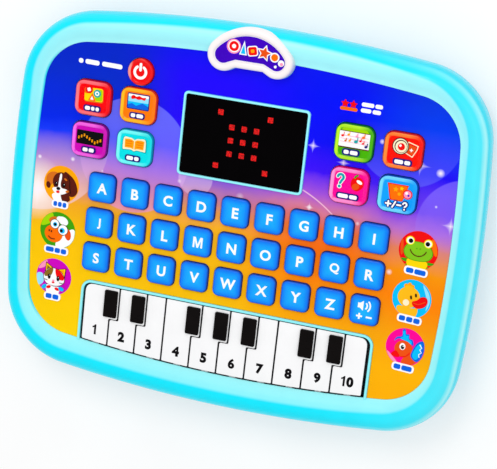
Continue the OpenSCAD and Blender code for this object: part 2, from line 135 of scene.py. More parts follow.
def case_loop(a, b, r, c):
    """A four-cornered loop whose sides bulge with radius r and whose corners turn with radius c."""
    side_x, end_y = a - r, b - r
    apart = math.hypot(side_x, end_y)
    lift = math.sqrt((r - c) ** 2 - apart * apart / 4)
    cx = side_x / 2 - end_y * lift / apart
    cy = end_y / 2 - side_x * lift / apart
    a1 = math.degrees(math.atan2(cy, cx - side_x))
    a2 = math.degrees(math.atan2(cy - end_y, cx))
    q = arc(side_x, 0, r, 0, a1, 14) + arc(cx, cy, c, a1, a2, 26, 1) + arc(0, end_y, r, a2, 90, 18, 1)
    near = [(x, -y) for x, y in reversed(q[1:])]
    return q[:-1] + [(-x, y) for x, y in reversed(q[1:])] + [(-x, -y) for x, y in q[:-1]] + near


def mix(p, q, t):
    return p + (q - p) * t


def case_outline(t):
    """Outline part of the way from the outside of the case (0) to the edge of the film (1)."""
    width, depth = mix(BODY_W, FACE_W, t), mix(BODY_D, FACE_D, t)
    return placed(case_loop(width / 2, depth / 2, BULGE_R, mix(CORNER_R, FACE_CORNER_R, t)), 0, FACE_Y * t)


def near_edge(x):
    """Near edge of the film at a given x."""
    return FACE_Y + BULGE_R - FACE_D / 2 - math.sqrt(BULGE_R**2 - x * x)


def tile(x, y, w, d, r, turn=0, steps=6):
    """A rectangle with round corners."""
    r = max(min(r, w / 2 - 0.01, d / 2 - 0.01), 0.01)
    points = []
    for sx, sy, a in ((1, 1, 0), (-1, 1, 90), (-1, -1, 180), (1, -1, 270)):
        points += arc(sx * (w / 2 - r), sy * (d / 2 - r), r, a, a + 90, steps)
    return placed(points, x, y, turn)


def placed(points, x, y, turn=0, size=1):
    """Points turned, scaled and moved."""
    c, s = math.cos(math.radians(turn)) * size, math.sin(math.radians(turn)) * size
    return [(x + px * c - py * s, y + px * s + py * c) for px, py in points]


def oval(x, y, rx, ry=None, turn=0, steps=32):
    ry = rx if ry is None else ry
    angles = [math.tau * i / steps for i in range(steps)]
    return placed([(rx * math.cos(a), ry * math.sin(a)) for a in angles], x, y, turn)


def smooth(points, steps=5, closed=True):
    """A Catmull-Rom curve through the points."""
    n = len(points)
    made = []
    for i in range(n if closed else n - 1):
        if closed:
            p = [points[(i + k) % n] for k in (-1, 0, 1, 2)]
        else:
            p = [points[min(max(i + k, 0), n - 1)] for k in (-1, 0, 1, 2)]
        for j in range(steps):
            t = j / steps
            w = (-t + 2 * t * t - t**3, 2 - 5 * t * t + 3 * t**3, t + 4 * t * t - 3 * t**3, t**3 - t * t)
            made.append(tuple(sum(w[k] * p[k][axis] for k in range(4)) / 2 for axis in range(len(p[0]))))
    return made if closed else made + [tuple(points[-1])]


def star(x, y, r, inner, count=5, turn=90):
    tips = [(inner if i % 2 else r, math.pi * i / count) for i in range(2 * count)]
    return placed([(reach * math.cos(a), reach * math.sin(a)) for reach, a in tips], x, y, turn)


def stroke(path, width):
    """The outline of a line of some width with round ends."""
    half = width / 2
    sides = ([], [])
    for i, (x, y) in enumerate(path):
        x0, y0 = path[max(i - 1, 0)]
        x1, y1 = path[min(i + 1, len(path) - 1)]
        long = math.hypot(x1 - x0, y1 - y0)
        nx, ny = -(y1 - y0) / long * half, (x1 - x0) / long * half
        sides[0].append((x - nx, y - ny))
        sides[1].append((x + nx, y + ny))

    def cap(at, before):
        a = math.degrees(math.atan2(at[1] - before[1], at[0] - before[0]))
        return arc(at[0], at[1], half, a - 90, a + 90, 6)

    return sides[0][1:-1] + cap(path[-1], path[-2]) + sides[1][-2:0:-1] + cap(path[0], path[1])


def grown(points, d):
    """A counter-clockwise outline moved outwards by d."""
    n = len(points)
    made = []
    for i in range(n):
        (x0, y0), (x, y), (x1, y1) = points[i - 1], points[i], points[(i + 1) % n]
        la, lb = math.hypot(x - x0, y - y0), math.hypot(x1 - x, y1 - y)
        ax, ay, bx, by = (y - y0) / la, (x0 - x) / la, (y1 - y) / lb, (x - x1) / lb
        share = d / max(1 + ax * bx + ay * by, 0.3)
        made.append((x + (ax + bx) * share, y + (ay + by) * share))
    return made


def filleted(corners, steps=5):
    """An outline from (x, y, radius) corners, each rounded by its radius."""
    n = len(corners)
    made = []
    for i, (x, y, r) in enumerate(corners):
        if r == 0:
            made.append((x, y))
            continue
        (x0, y0, _), (x1, y1, _) = corners[i - 1], corners[(i + 1) % n]
        la, lb = math.hypot(x0 - x, y0 - y), math.hypot(x1 - x, y1 - y)
        p = (x + (x0 - x) / la * r, y + (y0 - y) / la * r)
        q = (x + (x1 - x) / lb * r, y + (y1 - y) / lb * r)
        for j in range(steps + 1):
            t = j / steps
            a, b, c = (1 - t) ** 2, 2 * t * (1 - t), t * t
            made.append((a * p[0] + b * x + c * q[0], a * p[1] + b * y + c * q[1]))
    return made


def badge_outline(grow):
    """Two lobes under a wide arc, moved outwards by grow."""
    lobe_r, lobe_x, lobe_y, waist_x, waist_y = 8, 13.3, 81.7, 7, 76.1
    far_y = badge_hi.y
    arc_r = ((lobe_y - far_y) ** 2 + lobe_x**2 - lobe_r**2) / (2 * (far_y - lobe_y - lobe_r))
    arc_y = far_y - arc_r
    meet = math.degrees(math.atan2(lobe_y - arc_y, lobe_x))
    half = [(waist_x, waist_y - grow)]
    half += arc(lobe_x, lobe_y, lobe_r + grow, -120, meet, 22)
    half += arc(0, arc_y, arc_r + grow, meet, 90, 14, 1)
    return half + [(-x, y) for x, y in reversed(half[:-1])]


def piano_area(grow, past):
    """Plan of the keyboard opening, with a curved near edge moved outwards by past."""
    half_w = PIANO_W / 2 + 1 + grow
    far_y = PIANO_FAR_Y + BUTTON_GAP + grow
    r = PIANO_CORNER_R + grow
    xs = [mix(-1, 1, i / 20) * half_w for i in range(21)]
    near = [(x, near_edge(x) - past) for x in xs]
    return near + arc(half_w - r, far_y - r, r, 0, 90, 8) + arc(r - half_w, far_y - r, r, 90, 180, 8)


# ---------------------------------------------------------------- meshes


CARVED_SHARP = 30
DRAWN_SIGNS = {
    # Outlines of height 1, for signs that are drawn bolder than the plain ones
    "M": [(0, 0), (0.17, 0), (0.17, 0.66), (0.39, 0), (0.54, 0), (0.76, 0.66), (0.76, 0), (0.93, 0),
          (0.93, 1), (0.69, 1), (0.465, 0.32), (0.24, 1), (0, 1)],
    "1": [(0.18, 0), (0.38, 0), (0.38, 1), (0.25, 1), (0.16, 0.87), (0, 0.79), (0, 0.64), (0.18, 0.71)],
}


def add_object(name, data):
    thing = bpy.data.objects.new(name, data)
    bpy.context.scene.collection.objects.link(thing)
    return thing


class Shape:
    """A mesh in the making: points in millimetres, faces with an ink number, and a share for each point."""

    def __init__(self):
        self.points, self.faces, self.inks, self.shares = [], [], [], []

    def add(self, points, share=0):
        """Adds points and returns their numbers."""
        start = len(self.points)
        self.points += points
        self.shares += [share] * len(points)
        return list(range(start, len(self.points)))

    def loop(self, outline, z, share=0):
        return self.add([(x, y, z) for x, y in outline], share)

    def face(self, corners, ink=0):
        self.faces.append(corners)
        self.inks.append(ink)

    def join(self, a, b, ink=0):
        """Quads between two loops of the same length, a below or outside b."""
        for i in range(len(a)):
            j = (i + 1) % len(a)
            self.face([a[i], a[j], b[j], b[i]], ink)

    def skin(self, loops, inks=None):
        """A closed solid through loops, bottom first, with both ends filled."""
        inks = inks or [0] * len(loops)
        self.face(loops[0][::-1], inks[0])
        for k in range(len(loops) - 1):
            self.join(loops[k], loops[k + 1], inks[k])
        self.face(loops[-1], inks[-1])

    def stack(self, rings, inks=None):
        """A closed solid from rings of (outline, z, share), bottom first."""
        self.skin([self.loop(*ring) for ring in rings], inks)

    def prism(self, outline, z0, z1, ink=0, share=0):
        self.stack([(outline, z0, share), (outline, z1, share)], [ink, ink])

    def plate(self, outline, z0, z1, bevel, ink=0):
        """A prism with a small round bevel along its upper edge."""
        rings = [(outline, z0), (outline, z1 - bevel)]
        for angle in (30, 60, 90):
            a = math.radians(angle)
            rings.append((grown(outline, -bevel * (1 - math.cos(a))), z1 - bevel * (1 - math.sin(a))))
        self.stack(rings, [ink] * len(rings))

    def band(self, sections):
        """A closed ring: its section is a closed list of (outline, z, share)."""
        loops = [self.loop(*section) for section in sections]
        for k in range(len(loops)):
            self.join(loops[k], loops[(k + 1) % len(loops)])

    def tube(self, x, y, z0, z1, outer, inner):
        rings = [(outer, z0), (outer, z1), (inner, z1), (inner, z0)]
        self.band([(oval(x, y, r), z) for r, z in rings])

    def lathe(self, profile, place, inks=None, steps=32):
        """A solid turned about X: profile is (distance along X, radius), place is where its origin goes."""
        px, py, pz = place
        self.skin([self.add([(px + along, py + y, pz + z) for y, z in oval(0, 0, r, steps=steps)])
                   for along, r in profile], inks)

    def wire(self, path, r, steps):
        """A round wire along a path of (x, y, z)."""
        loops = []
        for i, p in enumerate(path):
            along = Vector(path[min(i + 1, len(path) - 1)]) - Vector(path[max(i - 1, 0)])
            turn = along.to_track_quat("Z", "Y")
            ring = oval(0, 0, r, steps=steps)
            loops.append(self.add([tuple(Vector(p) + turn @ Vector((x, y, 0))) for x, y in ring]))
        self.skin(loops)

    def glyph(self, text, height, x, y, z0, z1, bold=0, ink=0):
        """A letter, digit or sign as a solid, its middle at (x, y)."""
        if text in DRAWN_SIGNS:
            drawn = DRAWN_SIGNS[text]
            half = max(px for px, _ in drawn) / 2
            plan = [(x + (px - half) * height, y + (py - 0.5) * height) for px, py in drawn]
            self.prism(plan, z0, z1, ink)
            return
        curve = bpy.data.curves.new("glyph", "FONT")
        curve.body = text
        curve.extrude = 0.5
        curve.offset = bold
        curve.resolution_u = 5
        holder = add_object("glyph", curve)
        bpy.context.view_layer.update()
        mesh = bpy.data.meshes.new_from_object(holder.evaluated_get(bpy.context.evaluated_depsgraph_get()))
        bpy.data.objects.remove(holder)
        xs = [v.co.x for v in mesh.vertices]
        ys = [v.co.y for v in mesh.vertices]
        size = height / (max(ys) - min(ys))
        cx, cy = (max(xs) + min(xs)) / 2, (max(ys) + min(ys)) / 2
        numbers = self.add([(x + (v.co.x - cx) * size, y + (v.co.y - cy) * size, z1 if v.co.z > 0 else z0)
                            for v in mesh.vertices])
        for p in mesh.polygons:
            self.face([numbers[i] for i in p.vertices], ink)
        bpy.data.meshes.remove(mesh)

    def mesh(self, name, sharp):
        made = bpy.data.meshes.new(name)
        made.from_pydata([(x * MM, y * MM, z * MM) for x, y, z in self.points], [], self.faces)
        made.polygons.foreach_set("material_index", self.inks)
        made.attributes.new("share", "FLOAT", "POINT").data.foreach_set("value", self.shares)
        made.update()
        finish_mesh(made, sharp)
        return made


def finish_mesh(made, sharp):
    """Splits faces of many corners into triangles, and smooths all but the sharp edges."""
    work = bmesh.new()
    work.from_mesh(made)
    many = [f for f in work.faces if len(f.verts) > 4]
    bmesh.ops.triangulate(work, faces=many)
    work.to_mesh(made)
    work.free()
    made.shade_smooth()
    made.set_sharp_from_angle(angle=math.radians(sharp))


def piece(name, shape, materials, body="case", stands_for=(), sharp=35):
    """Makes a Blender piece that rides on a body, and may stand for CAD nodes."""
    thing = add_object(name, shape.mesh(name, sharp))
    for m in materials:
        thing.data.materials.append(m)
    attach(thing, body)
    if stands_for:
        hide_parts(*stands_for)
    return thing


def carve(thing, cutter_shape):
    """Cuts the solids of cutter_shape out of a piece."""
    cutter = add_object("cutter", cutter_shape.mesh("cutter", CARVED_SHARP))
    cut = thing.modifiers.new("cut", "BOOLEAN")
    cut.operation = "DIFFERENCE"
    cut.solver = "EXACT"
    cut.use_self = True
    cut.object = cutter
    bpy.context.view_layer.update()
    made = bpy.data.meshes.new_from_object(thing.evaluated_get(bpy.context.evaluated_depsgraph_get()))
    thing.modifiers.remove(cut)
    made.name = thing.name
    finish_mesh(made, CARVED_SHARP)
    thing.data = made
    bpy.data.objects.remove(cutter)


# ---------------------------------------------------------------- materials


def linear(r, g, b):
    """A colour given as 0 to 255 screen values, as the linear values a shader takes."""
    def one(v):
        v /= 255
        return v / 12.92 if v <= 0.04045 else ((v + 0.055) / 1.055) ** 2.4
    return one(r), one(g), one(b), 1


class Graph:
    """A node material in the making."""

    def __init__(self, name):
        self.material = bpy.data.materials.new(name)
        self.material.use_nodes = True
        self.tree = self.material.node_tree
        self.shader = self.tree.nodes["Principled BSDF"]
        self.place = self.add("ShaderNodeTexCoord").outputs["Object"]

    def add(self, kind, *inputs, **settings):
        node = self.tree.nodes.new(kind)
        for key, value in settings.items():
            setattr(node, key, value)
        for i, value in enumerate(inputs):
            self.feed(node.inputs[i], value)
        return node

    def feed(self, socket, value):
        if isinstance(value, bpy.types.NodeSocket):
            self.tree.links.new(value, socket)
        elif value is not None:
            socket.default_value = value

    def set(self, **values):
        for name, value in values.items():
            self.feed(self.shader.inputs[name.replace("_", " ")], value)

    def math(self, operation, *values):
        return self.add("ShaderNodeMath", *values, operation=operation).outputs[0]

    def blend(self, share, a, b, kind="MIX"):
        node = self.add("ShaderNodeMix", share, data_type="RGBA", blend_type=kind)
        self.feed(node.inputs[6], a)
        self.feed(node.inputs[7], b)
        return node.outputs[2]

    def range(self, value, low, high, to_low=0, to_high=1, kind="LINEAR"):
        return self.add("ShaderNodeMapRange", value, low, high, to_low, to_high,
                        interpolation_type=kind).outputs[0]

    def noise(self, size, detail=3, place=None):
        """Noise with features about size millimetres wide."""
        node = self.add("ShaderNodeTexNoise", place or self.place)
        node.inputs["Scale"].default_value = 1 / (size * MM)
        node.inputs["Detail"].default_value = detail
        return node.outputs["Fac"]

    def ramp(self, value, stops):
        node = self.add("ShaderNodeValToRGB", value)
        elements = node.color_ramp.elements
        while len(elements) < len(stops):
            elements.new(1)
        for element, (position, colour) in zip(elements, stops):
            element.position = position
            element.color = linear(*colour)
        return node.outputs[0]

    def grey(self, level):
        return self.add("ShaderNodeCombineColor", level, level, level).outputs[0]

    def share(self):
        return self.add("ShaderNodeAttribute", attribute_name="share").outputs["Fac"]

    def surface(self, size, depth):
        """A fine moulded texture, features size wide and depth deep, in millimetres."""
        bump = self.add("ShaderNodeBump")
        self.feed(bump.inputs["Strength"], 0.4)
        self.feed(bump.inputs["Distance"], depth * MM)
        self.feed(bump.inputs["Height"], self.noise(size, 4))
        self.feed(self.shader.inputs["Normal"], bump.outputs[0])


def plastic(name, colour, rough=0.22, gloss=0.4, shade=0.05, grain=(0.5, 0.01)):
    """Moulded plastic: a colour that drifts a little, uneven polish and a fine texture."""
    g = Graph(name)
    base = colour(g) if callable(colour) else linear(*colour)
    tint = g.grey(g.range(g.noise(9), 0.3, 0.7, 1 - shade, 1 + shade))
    g.set(Base_Color=g.blend(1, base, tint, "MULTIPLY"), Specular_IOR_Level=gloss)
    g.set(Roughness=g.range(g.noise(1.6), 0.3, 0.7, rough * 0.85, rough * 1.15))
    g.surface(*grain)
    return g.material


def metal(name, colour, rough):
    """Plated steel with faint wipe marks."""
    g = Graph(name)
    wipe = g.add("ShaderNodeMapping", g.place)
    wipe.inputs["Scale"].default_value = (1, 6, 1)
    streaks = g.noise(0.6, 5, wipe.outputs[0])
    g.set(Base_Color=linear(*colour), Metallic=1)
    g.set(Roughness=g.range(streaks, 0.3, 0.7, rough * 0.7, rough * 1.4))
    g.surface(0.3, 0.01)
    return g.material


INKS = {
    "white": (252, 252, 252), "cream": (255, 240, 200), "black": (8, 8, 10),
    "red": (240, 8, 10), "orange": (252, 110, 0), "amber": (255, 165, 0), "yellow": (255, 215, 0),
    "lemon": (252, 240, 40), "lime": (160, 215, 0), "green": (60, 160, 10), "teal": (0, 165, 170),
    "sky": (0, 190, 250), "pale": (150, 225, 255), "blue": (10, 100, 225), "navy": (25, 20, 120),
    "violet": (70, 0, 200), "magenta": (205, 0, 190), "pink": (255, 0, 150), "rose": (255, 150, 190),
    "gold": (252, 186, 22), "leaf": (128, 196, 26), "brown": (90, 25, 12), "tan": (215, 110, 25),
    "olive": (140, 105, 30), "rust": (235, 80, 15),
}
inks_made = {}


def ink(name):
    """A printed colour."""
    if name not in inks_made:
        inks_made[name] = plastic("ink_" + name, INKS[name], 0.3, 0.06, 0.04, (0.25, 0.004))
    return inks_made[name]


def rim_colour(g):
    """Bright outside, and pale on the slope down to the face as a painted reflection; the change lies
    elsewhere on each side, as the reflection falls.
    """
    at = g.add("ShaderNodeSeparateXYZ", g.place)

    def near_side(axis, reach):
        """0 in the middle of the toy, and 1 at its edge on one side."""
        return g.math("POWER", g.range(at.outputs[axis], 0, reach * MM), 4)

    right, far = near_side(0, BODY_W / 2), near_side(1, BODY_D / 2)
    left, near = near_side(0, -BODY_W / 2), near_side(1, -BODY_D / 2)
    # Where the painted reflection starts on the slope, shifted for each side
    crest = 0.55
    for side, shift in ((right, 0.29), (left, 0.07), (far, -0.36), (near, 0.03)):
        crest = g.math("MULTIPLY_ADD", side, shift, crest)
    share = g.share()
    pale = g.range(g.math("SUBTRACT", share, crest), -0.05, 0.06, kind="SMOOTHSTEP")
    inner = g.blend(g.range(share, 0.4, 1), linear(122, 238, 250), linear(158, 246, 250))
    # The outside is lighter on the right, and the slope lighter at the far side, as painted light
    outer = g.blend(right, linear(0, 228, 250), linear(84, 232, 248))
    inner = g.blend(far, inner, linear(176, 252, 255))
    # A painted highlight as a pale band along the right edge, and a stronger colour on the wall below the
    # rim as painted shade
    outer = g.blend(g.math("MULTIPLY", right, g.range(share, 0.24, 0.12)), outer, linear(168, 246, 250))
    low = g.range(at.outputs[2], 26 * MM, 24 * MM)
    outer = g.blend(low, outer, linear(0, 220, 242))
    colour = g.blend(pale, outer, inner)
    # A painted shadow: a darker line along the left side, where the slope meets the film
    lip_shadow = g.math("MULTIPLY", g.range(share, 0.92, 0.98), g.range(at.outputs[0], -95 * MM, -104 * MM))
    return g.blend(lip_shadow, colour, linear(40, 214, 236))


def key_colour(g):
    """Deep blue at the edge of a key, lighter in the middle: painted shade on the sides and the rounded edge
    of the dome.
    """
    return g.ramp(g.share(), [(0, (4, 62, 160)), (0.05, (4, 88, 210)), (0.14, (2, 118, 240)),
                              (0.5, (4, 152, 250)), (1, (16, 174, 252))])


# ---------------------------------------------------------------- the printed face

FACE_PALETTE = {
    # Colours of the sky and the sand at four places across the face, by height
    "left": [(-80, (253, 213, 4)), (-50, (252, 200, 4)), (-23, (248, 192, 5)), (-8, (240, 166, 30)),
             (3, (222, 140, 110)), (12, (172, 110, 195)), (20, (118, 90, 222)), (28, (20, 55, 245)),
             (36, (0, 38, 230)), (58, (3, 42, 200)), (80, (0, 34, 195))],
    "middle": [(-80, (252, 200, 5)), (-42, (250, 190, 8)), (-23, (250, 186, 14)), (-7, (248, 176, 30)),
               (1, (240, 158, 80)), (7, (208, 128, 150)), (14, (150, 98, 200)), (20, (125, 72, 225)),
               (30, (70, 20, 242)), (45, (35, 5, 243)), (66, (30, 4, 248)), (80, (10, 15, 235))],
    "inner": [(-80, (253, 180, 5)), (-42, (252, 166, 5)), (-23, (251, 134, 6)), (-8, (248, 110, 8)),
              (3, (245, 108, 40)), (12, (215, 120, 150)), (20, (160, 80, 215)), (30, (60, 15, 245)),
              (45, (10, 12, 243)), (66, (0, 15, 245)), (80, (5, 20, 235))],
    "right": [(-80, (253, 172, 3)), (-60, (253, 178, 3)), (-42, (244, 160, 8)), (-23, (252, 128, 3)),
              (-10, (244, 146, 5)), (3, (222, 130, 100)), (12, (175, 105, 215)), (20, (110, 60, 235)),
              (37, (30, 10, 243)), (58, (1, 60, 239)), (80, (5, 50, 212))],
}
FACE_DISCS = [
    # Middle, radius, softness, then two heights and the strength at each, and the colour. In order: the
    # large moon by the screen, blue above and pink below, the moon at the left, a faint disc under the
    # screen, two discs at the right and a glow at the left.
    (-54.8, 22.8, 28.8, 0.5, -5, 40, 0.2, 0.62, (118, 122, 255)),
    (-54.8, 22.8, 28.8, 0.5, 30, 0, 0, 0.5, (250, 150, 190)),
    (-107, 25.8, 39.3, 0.5, 28, -8, 0, 0.62, (240, 208, 214)),
    (-22, 17, 9, 0.5, 0, 1, 0.28, 0.28, (255, 225, 250)),
    (80, 57, 26.5, 0.6, 60, 30, 0, 0.4, (110, 120, 255)),
    (112.7, 14.8, 24.6, 0.6, -4, 30, 0, 0.4, (150, 125, 255)),
    (-106, -2, 17, 15, 0, 1, 0.85, 0.85, (255, 250, 246)),
]
FACE_LIGHTS = [
    # Middle, radius and strength of the small round lights
    (-104.3, 13.9, 1.2, 1), (-86.6, 15.5, 1.3, 0.9), (96.9, 40.2, 2.2, 1), (67.6, 50.4, 1.4, 0.9),
    (36.3, 12.9, 1.4, 0.7), (60.7, 9.3, 1.2, 0.6), (78.9, -11.2, 1.6, 0.8), (-30.1, 14.2, 1.2, 0.5),
    (-70.5, 12.2, 0.8, 0.6), (97, 24, 0.8, 0.7), (1.4, 11.9, 2.2, 0.4),
]
FACE_SPARKLES = [
    # Middle and reach of the four-pointed lights
    (50.3, 37.2, 4.5), (87, 42.2, 6.5), (34.6, 42.9, 4.5), (-104, -3, 12), (36.3, 12.9, 3.5), (105, 16, 6),
]


def film_colour(g):
    """A night sky over sand, with pale moons, small lights and sparkles."""
    flat = g.add("ShaderNodeVectorMath", g.place, (1 / MM, 1 / MM, 0), (0, -FACE_Y, 0),
                 operation="MULTIPLY_ADD").outputs[0]
    split = g.add("ShaderNodeSeparateXYZ", flat)
    x, y = split.outputs[0], split.outputs[1]
    height = g.range(g.math("ADD", y, g.range(g.noise(22, 4), 0.3, 0.7, -2, 2)), -80, 80)
    bands = {}
    for name, stops in FACE_PALETTE.items():
        bands[name] = g.ramp(height, [((at + 80) / 160, colour) for at, colour in stops])
    paint = g.blend(g.range(x, -70, -30, kind="SMOOTHSTEP"), bands["left"], bands["middle"])
    paint = g.blend(g.range(x, -10, 38, kind="SMOOTHSTEP"), paint, bands["inner"])
    paint = g.blend(g.range(x, 50, 92, kind="SMOOTHSTEP"), paint, bands["right"])

    def disc(cx, cy, r, soft):
        away = g.add("ShaderNodeVectorMath", flat, (cx, cy, 0), operation="DISTANCE").outputs["Value"]
        return g.range(away, r, r - soft)

    def fade(mask, low, high, from_share, to_share):
        return g.math("MULTIPLY", mask, g.range(y, low, high, from_share, to_share))

    def sparkle(cx, cy, reach):
        """A four-pointed light: strong where both distances are small, long along each axis."""
        dx = g.math("SQRT", g.math("ABSOLUTE", g.math("SUBTRACT", x, cx)))
        dy = g.math("SQRT", g.math("ABSOLUTE", g.math("SUBTRACT", y, cy)))
        return g.range(g.math("ADD", dx, dy), math.sqrt(reach), math.sqrt(reach) * 0.3)

    for cx, cy, r, soft, low, high, share_low, share_high, colour in FACE_DISCS:
        mask = fade(disc(cx, cy, r, soft), low, high, share_low, share_high)
        paint = g.blend(mask, paint, linear(*colour))
    # A thin curve of light from the screen down to the keys
    ring = g.add("ShaderNodeVectorMath", flat, (8, -38, 0), operation="DISTANCE").outputs["Value"]
    streak = g.range(g.math("ABSOLUTE", g.math("SUBTRACT", ring, 63.5)), 0.45, 0.1)
    streak = g.math("MULTIPLY", streak, g.range(x, 30, 33))
    paint = g.blend(g.math("MULTIPLY", streak, g.range(x, 56, 50, 0, 0.75)), paint, linear(255, 205, 225))
    for cx, cy, r, share in FACE_LIGHTS:
        paint = g.blend(g.math("MULTIPLY", disc(cx, cy, r, r), share), paint, linear(255, 245, 250))
    for cx, cy, reach in FACE_SPARKLES:
        paint = g.blend(g.math("MULTIPLY", sparkle(cx, cy, reach), 0.85), paint, linear(255, 240, 250))
    return paint


# ---------------------------------------------------------------- the two shells

RIM_OUTSIDE = [(0.05, 12), (0.02, 14.5), (0.003, 17.5), (0, 20.5), (0.06, 24.8), (0.17, 27.7), (0.3, 29.4),
               (0.42, 30), (0.55, 29.65), (0.7, 28.8), (0.86, 27.6), (1, 26.8)]
RIM_INSIDE = [(1, 26.25), (0.96, 26.15), (0.8, 26.6), (0.5, 27.6), (0.34, 27), (0.24, 25.2), (0.17, 21),
              (0.18, 15), (0.21, 12.4)]
BASE_OUTSIDE = [(0.66, 0), (0.57, 0.12), (0.44, 1), (0.27, 3.4), (0.13, 7.6), (0.07, 10.3), (0.052, 11.6)]


def rim_sections(profile):
    return [(case_outline(t), z, t) for t, z in profile]


def tab_x(i):
    """Middle of the tab of piano key number i, counted from 0."""
    return (i + 0.5 - PIANO_KEYS / 2) * HINGE_PITCH


def low_x(i):
    """Lower part of the boundary between piano keys i and i + 1."""
    if i in (0, PIANO_KEYS):
        return -PIANO_W / 2 if i == 0 else PIANO_W / 2
    return i * PIANO_PITCH - PIANO_W / 2 - PIANO_FIRST_LESS


def make_front(rim):
    shape = Shape()
    outside = [(max(t, 0), z) for t, z in smooth(RIM_OUTSIDE, 5, closed=False)]
    shape.band(rim_sections([(0.08, PARTING_Z)] + outside + smooth(RIM_INSIDE, 3, closed=False)))
    piece("case_front", shape, [rim], stands_for=["front_shell"])

    # The deck and the frames take the pale slope colour of the rim, painted reflection included, through
    # their share
    deck = Shape()
    deck.prism(case_outline(0.93), DECK_Z, DECK_TOP, share=0.9)
    deck_piece = piece("deck", deck, [rim])
    carve(deck_piece, button_holes(DECK_Z - 1, DECK_TOP + 1, BUTTON_GAP, 0, 3, -1.5))

    more = Shape()
    outer, inner = 1.3, 0.15
    top = FACE_Z + 1
    section = [(outer, DECK_TOP), (outer, top - 0.3), (outer - 0.1, top - 0.1), (outer - 0.3, top),
               (inner + 0.3, top), (inner + 0.1, top - 0.1), (inner, top - 0.3), (inner, DECK_TOP - 1)]
    more.band([(tile(0, WINDOW_Y, WINDOW_W + 2 * grow, WINDOW_D + 2 * grow, 1.1 + grow * 0.8), z, 0.8)
               for grow, z in section])
    frame_top = FACE_Z + 0.8
    section = [(1.3, DECK_TOP), (1.3, frame_top - 0.3), (1.2, frame_top - 0.1), (1, frame_top),
               (0.3, frame_top), (0.1, frame_top - 0.1), (0, frame_top - 0.3), (0, DECK_Z)]
    loops = [more.loop(piano_area(g, 0.6)[20:] + [piano_area(g, 0.6)[0]], z, 0.8) for g, z in section]
    count = len(loops[0])
    for k in range(len(loops)):
        a, b = loops[k], loops[(k + 1) % len(loops)]
        for i in range(count - 1):
            more.face([a[i], a[i + 1], b[i + 1], b[i]])
    more.face([loop[0] for loop in loops])
    more.face([loop[-1] for loop in reversed(loops)])
    for x, y in SCREW_SPOTS:
        more.tube(x, y, BOSS_SPLIT_Z, DECK_Z + 0.5, BOSS_R, 1.35)
    piece("deck_frames", more, [rim])


def button_holes(z0, z1, gap, collar, past, window_grow):
    """Cutters for every opening in the deck or the film."""
    cuts = Shape()
    corners = [(node, KEY_CORNER_R) for node in KEY_NODES]
    for node, r in corners + [("button_" + name, FUNCTION_CORNER_R) for name in FUNCTIONS]:
        x, y, w, d, _, _ = button_size(node)
        cuts.prism(tile(x, y, w + 2 * gap, d + 2 * gap, r + gap), z0, z1)
    lo, hi = box("power_button")
    cuts.prism(oval(*middle("power_button"), (hi.y - lo.y) / 2 + gap, steps=64), z0, z1)
    cuts.prism(piano_area(collar, past), z0, z1)
    grow = 2 * window_grow
    cuts.prism(tile(0, WINDOW_Y, WINDOW_W + grow, WINDOW_D + grow, 1.2 + max(window_grow, 0) * 0.8), z0, z1)
    return cuts


def make_film():
    shape = Shape()
    edge = case_loop(FACE_W / 2 - FILM_GAP, FACE_D / 2 - FILM_GAP, BULGE_R, FACE_CORNER_R - FILM_GAP)
    shape.prism(placed(edge, 0, FACE_Y), DECK_TOP, FACE_Z)
    gloss = plastic("face_print", film_colour, rough=0.2, gloss=0.05, shade=0.02, grain=(1.2, 0.004))
    film = piece("printed_face", shape, [gloss], stands_for=["face_film"], sharp=20)
    cuts = button_holes(DECK_TOP - 1, FACE_Z + 1, BUTTON_GAP + 0.08, 1.45, 3, 1.45)
    cuts.prism(badge_outline(0.3), DECK_TOP - 1, FACE_Z + 1)
    carve(film, cuts)


def make_rear(shell):
    """The base: a shell with a floor, the battery bay and the screw bosses."""
    shape = Shape()
    inside = [(0.21, PARTING_Z), (0.28, 8), (0.42, 4.6), (0.56, 3), (0.66, FLOOR_T)]
    shape.stack(rim_sections(smooth(BASE_OUTSIDE, 4, closed=False) + [(0.08, PARTING_Z)] + inside))
    rear = piece("case_rear", shape, [shell], stands_for=["rear_shell"])
    bay_top, bay_r, head_hole_r, sound_r = 17.4, 0.4, 3, 1.1
    hole = tile(0, 0, BAY_W, BAY_D, bay_r)
    door_tab = tile(0, 16, 12.6, 32, 0.6)
    cuts = Shape()
    cuts.prism(hole, -1, FLOOR_T + 1)
    cuts.prism(door_tab, -1, FLOOR_T + 0.3)
    for x, y in SCREW_SPOTS:
        cuts.prism(oval(x, y, head_hole_r), -1, FLOOR_T + 1)
    speaker_y = middle("speaker")[1]
    cuts.prism(oval(0, speaker_y, sound_r, steps=20), -1, FLOOR_T + 1)
    for ring in (1, 2):
        for i in range(6 * ring):
            a = math.tau * i / (6 * ring)
            x, y = 5 * ring * math.cos(a), speaker_y + 5 * ring * math.sin(a)
            cuts.prism(oval(x, y, sound_r, steps=20), -1, 4)
    carve(rear, cuts)

    more = Shape()
    wall, head_seat_z = 1.6, 5
    around = tile(0, 0, BAY_W + 2 * wall, BAY_D + 2 * wall, bay_r + wall)
    low, high = FLOOR_T - 0.2, bay_top + 1
    more.band([(around, low), (around, high), (hole, high), (hole, low)])
    more.prism(grown(hole, 0.1), bay_top, high)
    for x, y in SCREW_SPOTS:
        more.tube(x, y, low, head_seat_z, BOSS_R, head_hole_r)
        more.tube(x, y, head_seat_z, BOSS_SPLIT_Z, BOSS_R, 1.7)
    more.tube(0, speaker_y, low, FLOOR_T + 3, 19.8, 18.3)
    more.tube(0, DOOR_SCREW_Y, FLOOR_T + 0.3, 8, BOSS_R, 1.6)
    piece("base_bosses", more, [shell])


